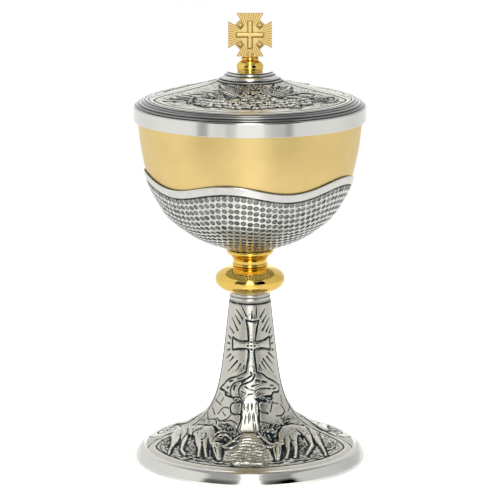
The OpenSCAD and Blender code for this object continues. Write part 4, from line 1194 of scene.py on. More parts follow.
def calyx_pieces(sizes, finish):
    """The front and the back of the hammered calyx."""
    bowl = bowl_line(sizes)
    line = np.concatenate([[(7.2, bowl[0, 1]), (9.2, bowl[0, 1])], bowl])
    curve = bpy.data.curves.new("calyx_profile", "CURVE")
    curve.dimensions = "3D"
    spline = curve.splines.new("POLY")
    spline.points.add(len(line) - 1)
    for point, (r, z) in zip(spline.points, line):
        point.co = (r / 1000, 0, z / 1000, 1)
    guide = own_object("calyx_profile", curve)
    reach = np.concatenate([[0], np.cumsum(np.hypot(*np.diff(line, axis=0).T))])
    mean_z = mm(sizes.calyx_at) + CALYX_RISE
    mean, above = (float(np.interp(z, line[2:, 1], reach[2:])) for z in (mean_z, mean_z + 1))
    # The section goes up the hammered outside, round the lip and down the plain inside: the share of the
    # profile, whether it is hammered, and the distance from the cup in millimetres.
    section = [(share, 1.0, 1.15) for share in np.linspace(0, 0.994, 186)]
    section += [(0.9982, 0.0, 1.05), (1.0, 0.0, 0.8), (1.0, 0.0, 0.4), (0.9982, 0.0, 0.15), (0.994, 0.0, 0.05)]
    section += [(share, 0.0, 0.05) for share in np.linspace(0.94, 0, 12)]
    points = [(share, hammered, gap / 1000) for share, hammered, gap in section + section[:1]]
    values = {
        "Profile": guide, "Columns": 480, "Mean edge": mean / 1000, "Waves": sizes.waves,
        "Wave rise": sizes.wave_rise * (above - mean), "Crest angle": math.radians(-29.8), "Border": 0.0049,
        "Pockets": sizes.pockets, "Row pitch": sizes.row_pitch, "Pocket width": sizes.pocket_width,
        "Pocket depth": sizes.pocket_depth, "Scatter": 0.00018, "Seed": 3, "Finish": finish,
    }
    made = []
    tree = hammered_tree()
    for first, word in ((-math.pi, "front"), (0.0, "back")):
        half = {**values, "First angle": first, "Last angle": first + math.pi}
        made.append(shaped_by(tree, f"calyx_{word}", points, half))
    bpy.data.objects.remove(guide)
    return made


def cross_piece(sizes, finish):
    """The cross: flared arms with rays of painted shade to their tips, a ridged cross on each face and four
    lozenges.
    """
    half = mm(sizes.cross_size) / 2
    tip, neck_x, neck_y = 0.62 * half, 0.45 * half, 0.70 * half
    corners = []
    for quarter in range(4):
        c, s = math.cos(math.pi / 2 * quarter), math.sin(math.pi / 2 * quarter)
        for x, y in ((tip, half), (neck_x, neck_y), (neck_y, neck_x), (half, tip)):
            corners.append((x * c + y * s, y * c - x * s))
    outline = []
    for a, b in zip(corners, corners[1:] + corners[:1]):
        steps = max(8, int(math.dist(a, b) / 0.16))
        outline += [(a[0] + (b[0] - a[0]) * k / steps, a[1] + (b[1] - a[1]) * k / steps) for k in range(steps)]
    outline = np.array(outline)
    rings, count = 44, len(outline)
    share = np.linspace(0, 1, rings + 1)[1:, None] ** 0.85
    x, y = share * outline[:, 0], share * outline[:, 1]
    # The plain face with its 52 rays and its edge, both marked only in colour as painted shade, for they are
    # not cut.
    height = np.full_like(x, CROSS_FACE)
    fan = np.abs(np.mod(np.arctan2(y, x) * 52 / (2 * math.pi), 1.0) - 0.5) * 2
    rays = np.clip(1 - fan / 0.7, 0, 1) * np.clip((np.hypot(x, y) / half - 0.4) / 0.25, 0, 1)
    dark = np.maximum(rays, 0.7 * np.clip((share - 0.965) / 0.035, 0, 1))
    # The two bars of the ridged cross, with a painted shadow line beside each.
    bar_long, bar_wide, ridge = 0.56 * half, 1.35, 0.95
    for u, v in ((x, y), (y, x)):
        roof = np.minimum(1 - np.abs(u) / bar_wide, (bar_long + 0.9 - np.abs(v)) / 1.4)
        height = np.maximum(height, CROSS_FACE + ridge * np.clip(1.9 * roof, 0, 1) ** 0.6)
        painted_shadow_beside = np.clip(1 + roof / 0.3, 0, 1) * (roof < 0)
        dark = np.maximum(dark * (roof < 0), 0.95 * painted_shadow_beside)
    # The lozenges between them, each with a painted shadow round it. All four are alike.
    gem = 1 - np.abs(np.abs(x) - 0.44 * half) / 1.9 - np.abs(np.abs(y) - 0.44 * half) / 2.1
    height = np.maximum(height, CROSS_FACE + 0.85 * np.clip(gem * 1.6, 0, 1))
    dark = np.maximum(dark * (gem < 0), np.clip(1 + gem / 0.35, 0, 1) * (gem < 0))

    top = CROSS_FACE + ridge
    front = np.stack([x, -height, y], axis=2).reshape(-1, 3)
    back = np.stack([x, height, y], axis=2).reshape(-1, 3)
    points = np.concatenate([[(0, -top, 0)], front, [(0, top, 0)], back])
    start_back = 1 + len(front)
    faces = []
    for i in range(count):
        j = (i + 1) % count
        faces.append((0, 1 + i, 1 + j))
        faces.append((start_back, start_back + 1 + j, start_back + 1 + i))
        for k in range(rings - 1):
            a, b = 1 + k * count, 1 + (k + 1) * count
            faces.append((a + i, b + i, b + j, a + j))
            a, b = a + start_back, b + start_back
            faces.append((a + j, b + j, b + i, a + i))
        a = 1 + (rings - 1) * count
        b = a + start_back
        faces.append((a + i, b + i, b + j, a + j))
    points[:, 2] += mm(sizes.cross_at) + half
    mesh = bpy.data.meshes.new("finial_cross")
    mesh.from_pydata((points / 1000).tolist(), [], faces)
    # All the dark marks of the cross are painted shade.
    marked_mesh(mesh, {"oxide": np.concatenate([[0], dark.reshape(-1), [0], dark.reshape(-1)])})
    mesh.validate()
    mesh.update()
    made = own_object("finial_cross_cast", mesh, finish)
    mesh.polygons.foreach_set("use_smooth", np.ones(len(mesh.polygons), bool))
    mesh.set_sharp_from_angle(angle=math.radians(34))
    return made


def metal(name, colour, roughness):
    """A bare metal: its material, tree, shader, and the object's own coordinates in millimetres."""
    made = bpy.data.materials.new(name)
    made.use_nodes = True
    tree = made.node_tree
    tree.nodes.clear()
    plain = {"Base Color": (*colour, 1), "Metallic": 1.0, "Roughness": roughness}
    shader = node(tree, "ShaderNodeBsdfPrincipled", plain)
    node(tree, "ShaderNodeOutputMaterial", [shader])
    place = node(tree, SCALE, {0: node(tree, "ShaderNodeTexCoord").outputs["Object"], 3: 1000.0})
    return made, tree, shader, place


def coat(tree, shader, paint, rough, height, strength, depth):
    """Gives a metal its colour and its roughness, and a bump that is so many metres deep."""
    bump = node(tree, "ShaderNodeBump", {"Strength": strength, "Distance": depth, "Height": height})
    feed(tree, shader, {"Base Color": paint, "Roughness": rough, "Normal": bump})


def mixed(tree, factor, first, second):
    """The colour between two colours or colour links."""
    kept = [c if isinstance(c, bpy.types.NodeSocket) else (*c, 1) for c in (first, second)]
    return node(tree, "ShaderNodeMix", {0: factor, 6: kept[0], 7: kept[1]}, data_type="RGBA").outputs[2]


def scaled(colour, factor):
    """A colour made lighter or darker."""
    return [min(1.0, c * factor) for c in colour]


def satin_gold_plate(colours):
    """Spun brass, satin brushed and gold plated: soft reflections over hair-fine lines round the axis."""
    gold = list(colours.satin_gold)
    made, tree, shader, place = metal("satin gold plate", gold, 0.36)
    # The brush leaves lines about 0.2 mm apart that run round the piece.
    lines = node(tree, STRETCH, [place, (0.06, 0.06, 5.0)])
    brush = node(tree, NOISE, {"Vector": lines, "Scale": 1.0, "Detail": 3.0, "Roughness": 0.6})
    cloud = node(tree, NOISE, {"Vector": place, "Scale": 0.045, "Detail": 2.0})
    tone = node(tree, RANGE, [cloud, 0.35, 0.65])
    paint = mixed(tree, tone, scaled(gold, 0.95), scaled(gold, 1.04))
    rough = node(tree, RANGE, [brush, 0.3, 0.7, 0.32, 0.42])
    coat(tree, shader, paint, rough, brush, strength=0.25, depth=0.00002)
    return made


def bright_gold_plate(colours):
    """Turned brass, buffed and gold plated: a mirror with the faintest swirls from the mop."""
    gold = list(colours.bright_gold)
    made, tree, shader, place = metal("bright gold plate", gold, 0.1)
    swirl = node(tree, NOISE, {"Vector": place, "Scale": 0.35, "Detail": 4.0, "Distortion": 0.6})
    rough = node(tree, RANGE, [swirl, 0.35, 0.7, 0.07, 0.14])
    paint = mixed(tree, node(tree, RANGE, [swirl, 0.3, 0.7]), gold, scaled(gold, 0.93))
    # Buffing leaves waves of a few micrometres over some millimetres.
    coat(tree, shader, paint, rough, swirl, strength=0.3, depth=0.00004)
    return made


def cast_gold_plate(colours):
    """A gold-plated casting: a fine sandy skin, bright on its ridges, and darkened to brown by the painted
    shade in its rays and lines.
    """
    gold = list(colours.cast_gold)
    made, tree, shader, place = metal("cast gold plate", gold, 0.3)
    # The dark marks read here are painted shade, which mixes the gold towards a deep brown.
    oxide = node(tree, "ShaderNodeAttribute", attribute_name="oxide").outputs["Fac"]
    grain = node(tree, NOISE, {"Vector": place, "Scale": 2.6, "Detail": 3.0})
    deep = [gold[0] * 0.42, gold[1] * 0.30, gold[2] * 0.16]
    paint = mixed(tree, node(tree, TIMES, [oxide, 0.92]), gold, deep)
    rough = node(tree, RANGE, [grain, 0.3, 0.7, 0.24, 0.38])
    coat(tree, shader, paint, rough, grain, strength=0.25, depth=0.00005)
    return made


def bright_silver_plate(colours):
    """Turned brass, polished and silver plated: a clear mirror with turning lines too fine to feel."""
    silver = list(colours.silver)
    made, tree, shader, place = metal("bright silver plate", silver, 0.14)
    # Lines of the lathe, drawn 0.3 mm apart so that they show at all.
    lines = node(tree, STRETCH, [place, (0.05, 0.05, 3.4)])
    lathe = node(tree, NOISE, {"Vector": lines, "Scale": 1.0, "Detail": 2.0})
    cloud = node(tree, NOISE, {"Vector": place, "Scale": 0.06, "Detail": 2.0})
    tone = node(tree, RANGE, [cloud, 0.35, 0.65])
    film = node(tree, "ShaderNodeAttribute", attribute_name="oxide").outputs["Fac"]
    paint = mixed(tree, film, mixed(tree, tone, silver, scaled(silver, 0.95)), scaled(colours.oxide, 0.5))
    rough = node(tree, RANGE, [lathe, 0.3, 0.7, 0.11, 0.18])
    coat(tree, shader, paint, rough, lathe, strength=0.2, depth=0.00002)
    return made


def oxidised_silver(name, silver, oxide, grain_size, roughness):
    """Silver plate blackened with liver of sulphur and rubbed back: bright on top and blue-black below."""
    made, tree, shader, place = metal(name, silver, roughness)
    depth = node(tree, "ShaderNodeAttribute", attribute_name="oxide").outputs["Fac"]
    rubbed = node(tree, "ShaderNodeAttribute", attribute_name="rubbed").outputs["Fac"]
    grain = node(tree, NOISE, {"Vector": place, "Scale": 1 / grain_size, "Detail": 4.0, "Roughness": 0.65})
    patch = node(tree, NOISE, {"Vector": place, "Scale": 0.3, "Detail": 2.0})
    thin = node(tree, RANGE, [grain, 0.3, 0.75, 0.94, 1.24])
    uneven = node(tree, RANGE, [patch, 0.36, 0.64, 1.12, 0.8])
    film = node(tree, TIMES, [depth, node(tree, TIMES, [thin, uneven])], use_clamp=True)
    veil = node(tree, MOST, [film, node(tree, RANGE, [patch, 0.4, 0.75, 0.0, 0.1])])
    paint = mixed(tree, veil, mixed(tree, rubbed, silver, scaled(silver, 1.2)), oxide)
    # Where the cloth has rubbed it smooth it is bright; in the hollows it stays dull.
    cloth = node(tree, RANGE, {0: rubbed, 3: roughness, 4: 0.6 * roughness})
    dull = node(tree, RANGE, {0: veil, 3: cloth, 4: 0.55})
    # The casting's own skin is a few hundredths of a millimetre deep.
    coat(tree, shader, paint, dull, grain, strength=0.35, depth=0.00005)
    return made


def turned_steel(colours):
    """Zinc-plated steel: grey and a little cloudy, with coarse lines from the lathe."""
    steel = list(colours.steel)
    made, tree, shader, place = metal("zinc plated steel", steel, 0.38)
    spangle = node(tree, NOISE, {"Vector": place, "Scale": 0.5, "Detail": 3.0})
    rough = node(tree, RANGE, [spangle, 0.3, 0.7, 0.3, 0.46])
    paint = mixed(tree, node(tree, RANGE, [spangle, 0.3, 0.7]), steel, scaled(steel, 0.85))
    lines = node(tree, STRETCH, [place, (0.3, 0.3, 4.0)])
    lathe = node(tree, NOISE, {"Vector": lines, "Scale": 1.0, "Detail": 1.0})
    coat(tree, shader, paint, rough, lathe, strength=0.4, depth=0.00004)
    return made


MAKERS = {
    "satin gold plate": satin_gold_plate,
    "bright gold plate": bright_gold_plate,
    "cast gold plate": cast_gold_plate,
    "bright silver plate": bright_silver_plate,
    "chased silver plate": lambda colours: oxidised_silver(
        "chased silver plate", colours.worn_silver, colours.oxide, 0.5, 0.3
    ),
    "hammered silver plate": lambda colours: oxidised_silver(
        "hammered silver plate", colours.silver, colours.pocket_film_and_gap_shade, 0.4, 0.2
    ),
    "zinc plated steel": turned_steel,
}


def finish_of(name):
    """The named finish, made the first time it is asked for."""
    return bpy.data.materials.get(name) or MAKERS[name](bpy.context.scene.ciborium_finishes)


def settle_piece(pieces, body, slot, *nodes):
    """Puts pieces on their body, in the place of nodes of the frame."""
    for piece in pieces:
        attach(piece, body)
        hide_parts(*nodes)


class CIBORIUM_OT_foot(bpy.types.Operator):
    """Makes the chased foot and stem and the polished rim round it"""

    bl_idname = "ciborium.foot"
    bl_label = "Foot and stem"

    def execute(self, context):
        sizes = context.scene.ciborium_sizes
        chased, bright = finish_of("chased silver plate"), finish_of("bright silver plate")
        relief = chased_foot(sizes)
        pieces = halves("foot_flare", relief, chased, slice(0, FLARE_ROWS))
        pieces += halves("foot_stem", relief, chased, slice(FLARE_ROWS - 1, None), every=2)
        top, foot = relief.line[-1], relief.line[0]
        inner = [p for p in beside(relief.line[::6], -SHELL)[::-1] if p[1] < top[1] - 0.5]
        section = [tuple(top), (top[0] - SHELL, top[1])] + inner + [tuple(foot)]
        pieces.append(turned("foot_inside", section, bright, closed=False))
        settle_piece(pieces, "vessel", "chased_silver", "foot_shell")

        outer, shoulder = mm(sizes.foot_width) / 2, mm(sizes.foot_width) / 2 - FOOT_BEVEL
        bevel = smooth([
            (FOOT_BEVEL, 7.5), (3.8, 7), (2.6, 6.2), (1.8, 5.1), (1.05, 4), (0.3, 2.5), (0, 1.7), (0, 0.5),
        ], 6)
        section = [(outer - 4.2, 0), (outer - 0.4, 0)] + [(outer - p[0], p[1]) for p in bevel[::-1]]
        section += [(shoulder + 0.05, 6.15), (shoulder - 4, 7.55), (shoulder - 4, 6.25)]
        section += [(shoulder + 0.6, 4.85), (outer - 4.2, 1.6)]
        rim = turned("foot_rim_bevel", eased(section, 0.3), bright)
        settle_piece([rim], "vessel", "polished_silver", "foot_rim")
        return {"FINISHED"}


class CIBORIUM_OT_knop(bpy.types.Operator):
    """Makes the knop, the ring above it and the collar that carries the cup"""

    bl_idname = "ciborium.knop"
    bl_label = "Knop and neck"

    def execute(self, context):
        sizes = context.scene.ciborium_sizes
        gold = finish_of("bright gold plate")
        # The outline of the knop is an ellipse about a point 3 mm off the axis, and its wall is 1.3 mm thick.
        low, high = mm(sizes.knop_at), mm(sizes.neck_at)
        middle, half, wide = low + 0.49 * (high - low), 0.55 * (high - low), mm(sizes.knop_width) / 2 - 3
        first, last = math.asin((low - middle) / half), math.asin((high - middle) / half)
        outer, inner = (
            [(3 + (wide - wall) * math.cos(a), middle + (half - wall) * math.sin(a)) for a in turns]
            for wall, turns in ((0, np.linspace(first, last, 56)), (1.3, np.linspace(-0.96, 0.96, 20)))
        )
        section = [(ROD_HOLE, low)] + outer + [(ROD_HOLE, high), (ROD_HOLE, inner[-1][1])]
        section += inner[::-1] + [(ROD_HOLE, inner[0][1])]
        knop = turned("knop_turned", eased(section, 0.25), gold)
        settle_piece([knop], "vessel", "polished_gilt", "knop")

        neck, round_off = mm(sizes.neck_width) / 2, NECK_BEAD / 2
        bead = [
            (neck - 0.25 + round_off * math.cos(a), high + round_off + round_off * math.sin(a))
            for a in np.linspace(-1.57, 1.57, 25)
        ]
        ring = turned("neck_bead", [(ROD_HOLE, high)] + bead + [(ROD_HOLE, high + NECK_BEAD)], gold)
        settle_piece([ring], "vessel", "polished_gilt", "neck_ring")

        start, end, lip = high + NECK_BEAD, mm(sizes.calyx_at), mm(sizes.neck_lip) / 2
        flare = smooth([
            (0, 0), (0.02, 0.2), (0.17, 0.37), (0.42, 0.52), (0.73, 0.66), (0.95, 0.79), (1, 0.9),
            (0.93, 0.97),
        ], 6)
        flare = [(neck + (lip - neck) * a, start + (end - start) * b) for a, b in flare]
        section = [(7.1, start)] + flare + [(lip - 0.4, end), (7.1, end)]
        collar = turned("neck_flare", eased(section, 0.2), gold)
        settle_piece([collar], "vessel", "polished_gilt", "neck_collar")
        return {"FINISHED"}


class CIBORIUM_OT_cup(bpy.types.Operator):
    """Makes the gilt cup"""

    bl_idname = "ciborium.cup"
    bl_label = "Cup"

    def execute(self, context):
        sizes = context.scene.ciborium_sizes
        outer = smooth(bowl_line(sizes)[::2], 4)
        floor, lip = outer[0, 1], mm(sizes.lip_at)
        inner = [p for p in beside(outer, -CUP_WALL)[::-1] if floor + 1.2 < p[1] < lip - 0.3]
        section = [(0, floor)] + list(outer) + [(outer[-1, 0] - CUP_WALL, lip)] + inner
        section += [(outer[0, 0], floor + CUP_WALL), (0, floor + CUP_WALL)]
        section = eased(section, 0.4, closed=False)
        cup = turned("cup_spun", section, finish_of("satin gold plate"), closed=False)
        settle_piece([cup], "vessel", "satin_gilt", "cup_bowl")
        return {"FINISHED"}


class CIBORIUM_OT_calyx(bpy.types.Operator):
    """Makes the hammered silver calyx with its wavy edge"""

    bl_idname = "ciborium.calyx"
    bl_label = "Calyx"

    def execute(self, context):
        pieces = calyx_pieces(context.scene.ciborium_sizes, finish_of("hammered silver plate"))
        settle_piece(pieces, "vessel", "hammered_silver", "calyx")
        return {"FINISHED"}


class CIBORIUM_OT_lid(bpy.types.Operator):
    """Makes the chased top of the lid, its band with two beads, and the boss"""

    bl_idname = "ciborium.lid"
    bl_label = "Lid"

    def execute(self, context):
        sizes = context.scene.ciborium_sizes
        chased, bright = finish_of("chased silver plate"), finish_of("bright silver plate")
        relief = chased_lid(sizes)
        pieces = halves("lid_top", relief, chased)
        edge, top = relief.line[0], relief.line[-1]
        under = [(p[0] - 0.3, p[1] - SHELL) for p in relief.line[::6]]
        seat = mm(sizes.boss_at)
        section = [tuple(top), (top[0] - 0.3, seat - 0.05), (TANG_HOLE, seat - 0.05)]
        section += [(TANG_HOLE, seat - SHELL)] + under[::-1]
        section += [(edge[0], edge[1] - SHELL), (edge[0], edge[1] - 0.4)]
        pieces.append(turned("lid_underside", section, finish_of("satin gold plate"), closed=False))
        settle_piece(pieces, "lid", "chased_silver", "lid_dome")

        # The band is drawn down and in from its crown, as two beads and the steps between them.
        radius, lip = mm(sizes.lid_width) / 2, mm(sizes.lip_at)
        crown = lip + 3.5
        beads = np.concatenate([
            smooth([(0, -0.75), (-0.2, -0.2), (-0.9, 0)], 6), [(-1.05, -0.25)],
            smooth([(-1.2, 0.1), (-1.7, 0.85), (-2.3, 1.15)], 6), [(-2.55, 0.85)],
            smooth([(-2.8, 1.25), (-3.4, 1.85), (-4.1, 2.1)], 6), [(-4.3, 1.85)],
            smooth([(-4.5, 2.2), (-5.1, 2.75), (-5.7, 2.9)], 6), [(-5.95, 2.6)],
            smooth([(-6.2, 2.95), (-6.9, 3.35), (-7.6, 3.35), (-7.95, 2.9)], 6),
        ])
        flange, inner = mm(sizes.cup_width) / 2 - 1.5, radius - 1.1
        section = [(inner, lip - 4.4), (radius - 0.3, lip - 4.4), (radius, lip - 4.1)]
        section += [(radius + p[0], crown + p[1]) for p in beads]
        section += [(edge[0] + 0.05, edge[1] - SHELL), (flange, lip + 2.6)]
        section += [(flange, lip + 0.05), (inner, lip + 0.05)]
        grooves = [(radius - a, crown + b, c) for a, b, c in [
            (1.1, -0.1, 0.95), (2.55, 0.95, 1.2), (4.3, 1.9, 0.85), (5.95, 2.65, 1.3), (7.95, 2.9, 1.15),
        ]]
        rim = turned("lid_band", eased(section, 0.15, limit=40), bright, grooves=grooves)
        settle_piece([rim], "lid", "polished_silver", "lid_rim")

        boss, tall = mm(sizes.boss_width) / 2, 4
        step = smooth([(1, 0.05), (0.99, 0.2), (0.92, 0.4), (0.85, 0.53), (0.83, 0.52)], 6)
        face = smooth([(0.82, 0.56), (0.79, 0.74), (0.74, 0.9), (0.69, 0.985), (0.64, 1)], 6)
        section = [(TANG_HOLE, seat), (boss - 0.3, seat)] + [(boss * a, seat + tall * b) for a, b in step]
        section += [(0.825 * boss, seat + 1.75)] + [(boss * a, seat + tall * b) for a, b in face]
        section += [(TANG_HOLE, seat + tall)]
        grooves = [(boss, seat, 0.7), (0.825 * boss, seat + 2.0, 0.8), (0.74 * boss, seat + 3.6, 0.5)]
        steps = turned("lid_boss_steps", section, bright, grooves=grooves)
        settle_piece([steps], "lid", "polished_silver", "lid_boss")
        return {"FINISHED"}


class CIBORIUM_OT_finial(bpy.types.Operator):
    """Makes the gilt knob and the cross on the lid"""

    bl_idname = "ciborium.finial"
    bl_label = "Finial"

    def execute(self, context):
        sizes = context.scene.ciborium_sizes
        cast = finish_of("cast gold plate")
        low, high, wide = mm(sizes.knob_at), mm(sizes.cross_at), mm(sizes.knob_width) / 2
        dome = smooth([
            (0.91, 0), (0.97, 0.12), (1, 0.26), (0.985, 0.38), (0.93, 0.5), (0.84, 0.61), (0.72, 0.7),
            (0.64, 0.74),
        ], 6)
        cove = smooth([(0.57, 0.76), (0.64, 0.8), (0.655, 0.86), (0.61, 0.93), (0.5, 1)], 6)
        outline = [(wide * a, low + (high - low) * b) for a, b in np.concatenate([dome, cove])]
        section = [(TANG_HOLE, low)] + outline + [(TANG_HOLE, high)]
        knob = turned("finial_knob_turned", section, finish_of("bright gold plate"))
        settle_piece([knob], "lid", "polished_gilt", "finial_knob")
        cross = cross_piece(sizes, cast)
        rod = eased([(0, 199.1), (2, 199.1), (2, high + 2), (0, high + 2)], 0.3, closed=False)
        tang = turned("finial_tang", rod, cast, closed=False, segments=48)
        settle_piece([cross, tang], "lid", "cast_gilt", "finial_cross")
        return {"FINISHED"}


class CIBORIUM_OT_fixings(bpy.types.Operator):
    """Gives the nuts, washers, rod and plates that hold the vessel together their finishes"""

    bl_idname = "ciborium.fixings"
    bl_label = "Fixings"

    def execute(self, context):
        for finish, names in {
            "satin gold plate": ["lid_flange"],
            "bright gold plate": ["cup_boss"],
            "zinc plated steel": [
                "lid_washer", "lid_nut", "stem_plate", "clamp_plate", "tie_rod", "spring_washer", "tie_nut",
            ],
        }.items():
            for name in names:
                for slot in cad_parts[name].material_slots:
                    slot.material = finish_of(finish)
        return {"FINISHED"}


def studio_walls():
    """How bright the studio is in each direction: pale, with a strip light in front between dark gaps."""
    tree = bpy.data.node_groups.new("Studio walls", "ShaderNodeTree")
    tree.interface.new_socket("Direction", in_out="INPUT", socket_type="NodeSocketVector")
    tree.interface.new_socket("Level", in_out="OUTPUT", socket_type="NodeSocketFloat")
    x, y, z = node(tree, SPLIT, [node(tree, "NodeGroupInput")]).outputs
    across = node(tree, ABSOLUTE, [x])

    def between(value, first, last):
        """How far a value is between two others, with soft ends."""
        above = node(tree, SOFT_RANGE, [node(tree, LESS, [value, first]), -0.02, 0.03])
        below = node(tree, SOFT_RANGE, [node(tree, LESS, [last, value]), -0.02, 0.03])
        return node(tree, TIMES, [above, below])

    # Above the horizon the lit part in the middle grows narrower as it climbs, and so do the gaps beside it.
    low = node(tree, SOFT_RANGE, [z, -0.04, -0.12])
    high = node(tree, LESS, [1.0, low])
    near_side = node(tree, SOFT_RANGE, [z, -0.2, 0.02, 0.44, 0.25])
    lit = node(tree, LESS, [near_side, node(tree, SOFT_RANGE, [z, 0.1, 0.9, 0.0, 0.13])])
    far_side = node(tree, SOFT_RANGE, [z, 0.2, 0.9, 0.78, 0.52])
    far = node(tree, LESS, [far_side, node(tree, SOFT_RANGE, [z, 0.12, 0.0, 0.0, 0.2])])
    black = node(tree, TIMES, [node(tree, SOFT_RANGE, [z, 0.03, 0.1]), node(tree, SOFT_RANGE, [z, 0.7, 0.5])])
    gap = node(tree, TIMES, [between(across, lit, far), node(tree, TIMES_PLUS, [black, 0.36, 0.52])])
    gap = node(tree, TIMES, [gap, high])
    # Below it there is a narrow gap on each side, the left one darker, with a fainter part beside it.
    for first, last, depth in [
        (-0.79, -0.65, 0.55), (-0.58, -0.42, 0.1), (-0.4, -0.22, 0.36), (0.24, 0.6, 0.28), (0.58, 0.67, 0.5),
    ]:
        part = node(tree, TIMES, [node(tree, TIMES, [between(x, first, last), depth]), low])
        gap = node(tree, PLUS, [gap, part])
    gap = node(tree, TIMES, [gap, node(tree, SOFT_RANGE, [y, 0.65, 0.35])])
    strip = node(tree, SOFT_RANGE, [node(tree, OVER, [across, lit]), 0.9, 0.7])
    strip = node(tree, TIMES, [strip, node(tree, SOFT_RANGE, [z, -0.12, 0.0, 0.1, 1.3])])
    strip = node(tree, TIMES, [strip, node(tree, SOFT_RANGE, [y, 0.4, 0.0, 0.42, 1.0])])
    # The right and the back are a little dimmer.
    dim = node(tree, PLUS, [node(tree, TIMES, [high, 0.12]), 0.1])
    dim = node(tree, TIMES, [node(tree, SOFT_RANGE, [x, 0.1, 0.8]), dim])
    dim = node(tree, PLUS, [dim, node(tree, SOFT_RANGE, [y, 0.0, 0.6, 0.0, 0.08])])
    pale = node(tree, SOFT_RANGE, [z, -0.04, -0.12, 0.97, 1.03])
    level = node(tree, LESS, [node(tree, PLUS, [pale, strip]), node(tree, PLUS, [gap, dim])])
    node(tree, "NodeGroupOutput", [level])
    return tree


def seen_plainly(tree):
    """The kinds of light path, and a node that is 1 on the camera's own rays and through glass."""
    path = node(tree, "ShaderNodeLightPath").outputs
    return path, node(tree, MOST, [path["Is Camera Ray"], path["Is Transmission Ray"]])


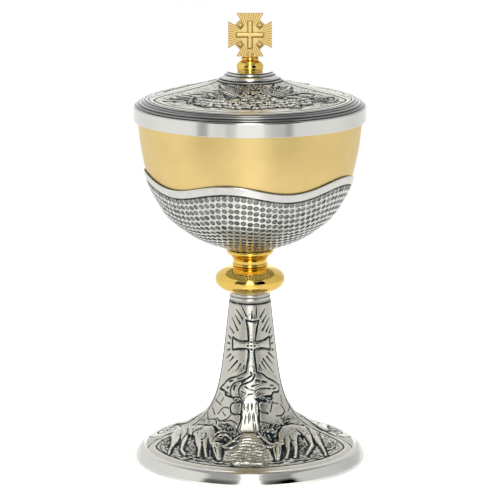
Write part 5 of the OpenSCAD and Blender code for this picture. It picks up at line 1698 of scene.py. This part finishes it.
class CIBORIUM_OT_stage(bpy.types.Operator):
    """Makes the floor, the light and the camera"""

    bl_idname = "ciborium.stage"
    bl_label = "Stage"

    def execute(self, context):
        scene = context.scene
        paper = list(scene.ciborium_finishes.paper)
        floor_mesh = bpy.data.meshes.new("floor")
        radius, turns = 0.45, np.linspace(0, 2 * math.pi, 64, endpoint=False)
        ring = [(radius * math.cos(a), radius * math.sin(a), 0) for a in turns]
        floor_mesh.from_pydata(ring, [], [tuple(range(len(ring)))])
        paint = bpy.data.materials.new("matt paper")
        paint.use_nodes = True
        tree = paint.node_tree
        tree.nodes.clear()
        place = node(tree, "ShaderNodeTexCoord").outputs["Object"]
        tooth = node(tree, NOISE, {"Vector": place, "Scale": 900.0, "Detail": 2.0})
        shade = mixed(tree, tooth, scaled(paper, 0.99), scaled(paper, 1.01))
        matt = node(tree, "ShaderNodeBsdfDiffuse", [shade])
        # A painted pool of light: the paper glows brighter in a lane in front, where the strip light would
        # fall on it.
        off = node(tree, ABSOLUTE, [node(tree, SPLIT, [place])])
        painted_light_lane = node(tree, SOFT_RANGE, [off, 0.06, 0.02, 1.1, 1.85])
        light = node(tree, "ShaderNodeEmission", [(1, 1, 1, 1), painted_light_lane])
        path, seen = seen_plainly(tree)
        mirror = node(tree, TIMES, [path["Is Glossy Ray"], 0.6])
        part = node(tree, TIMES_PLUS, [seen, 0.72, mirror])
        node(tree, "ShaderNodeOutputMaterial", [node(tree, "ShaderNodeMixShader", [part, matt, light])])
        floor = own_object("studio_floor", floor_mesh, paint)

        world = bpy.data.worlds.new("studio")
        world.use_nodes = True
        tree = world.node_tree
        tree.nodes.clear()
        way = node(tree, "ShaderNodeTexCoord").outputs["Generated"]
        walls = node(tree, "ShaderNodeGroup", node_tree=studio_walls())
        feed(tree, walls, [way])
        soft, mirrored, white = (
            node(tree, "ShaderNodeBackground", [(1, 1, 1, 1), level]) for level in (0.75, walls, 1.0)
        )
        path, seen = seen_plainly(tree)
        sky = node(tree, "ShaderNodeMixShader", [path["Is Glossy Ray"], soft, mirrored])
        node(tree, "ShaderNodeOutputWorld", [node(tree, "ShaderNodeMixShader", [seen, sky, white])])
        scene.world = world

        middle = Vector((0, 0, 0.12))
        for name, spot, size, power in [
            ("front light", (0.0, -1.9, 1.15), (0.3, 1.4), 5.0),
            ("left light", (-1.7, -0.6, 1.3), (1.8, 1.8), 9.0),
            ("right light", (1.7, -0.4, 1.2), (1.8, 1.8), 7.0),
        ]:
            lamp = bpy.data.lights.new(name, "AREA")
            lamp.shape = "RECTANGLE"
            lamp.size, lamp.size_y = size
            lamp.energy = power
            made = own_object(name, lamp)
            made.location = spot
            made.rotation_euler = (middle - made.location).to_track_quat("-Z", "Y").to_euler()
            made.visible_camera = False
            made.visible_glossy = name == "front light"

        lens = bpy.data.cameras.new("camera")
        lens.sensor_width = 36
        lens.lens = EYE_REACH / SHEET * lens.sensor_width
        lens.clip_end = 50
        camera = own_object("camera", lens)
        camera.location = [value / 1000 for value in EYE]
        camera.rotation_euler = (math.pi / 2 - EYE_PITCH, 0, 0)
        scene.camera = camera
        scene.view_settings.view_transform = "Standard"
        return {"FINISHED"}


class CIBORIUM_PT_panel(bpy.types.Panel):
    bl_idname = "CIBORIUM_PT_panel"
    bl_label = "Ciborium"
    bl_space_type = "VIEW_3D"
    bl_region_type = "UI"
    bl_category = "Ciborium"

    def draw(self, context):
        for group in (context.scene.ciborium_sizes, context.scene.ciborium_finishes):
            column = self.layout.column(align=True)
            for name in group.bl_rna.properties.keys():
                if name not in {"name", "rna_type"}:
                    column.prop(group, name)
        for operator in OPERATORS:
            self.layout.operator(operator.bl_idname)


OPERATORS = (
    CIBORIUM_OT_foot, CIBORIUM_OT_knop, CIBORIUM_OT_cup, CIBORIUM_OT_calyx, CIBORIUM_OT_lid,
    CIBORIUM_OT_finial, CIBORIUM_OT_fixings, CIBORIUM_OT_stage,
)
CLASSES = (CiboriumSizes, CiboriumFinishes, *OPERATORS, CIBORIUM_PT_panel)


def register():
    for cls in CLASSES:
        bpy.utils.register_class(cls)
    bpy.types.Scene.ciborium_sizes = bpy.props.PointerProperty(type=CiboriumSizes)
    bpy.types.Scene.ciborium_finishes = bpy.props.PointerProperty(type=CiboriumFinishes)


def unregister():
    del bpy.types.Scene.ciborium_finishes
    del bpy.types.Scene.ciborium_sizes
    for cls in reversed(CLASSES):
        bpy.utils.unregister_class(cls)


def main():
    register()
    bpy.ops.ciborium.stage()
    bpy.ops.ciborium.foot()
    bpy.ops.ciborium.knop()
    bpy.ops.ciborium.cup()
    bpy.ops.ciborium.calyx()
    bpy.ops.ciborium.lid()
    bpy.ops.ciborium.finial()
    bpy.ops.ciborium.fixings()


if __name__ == "__main__":
    main()
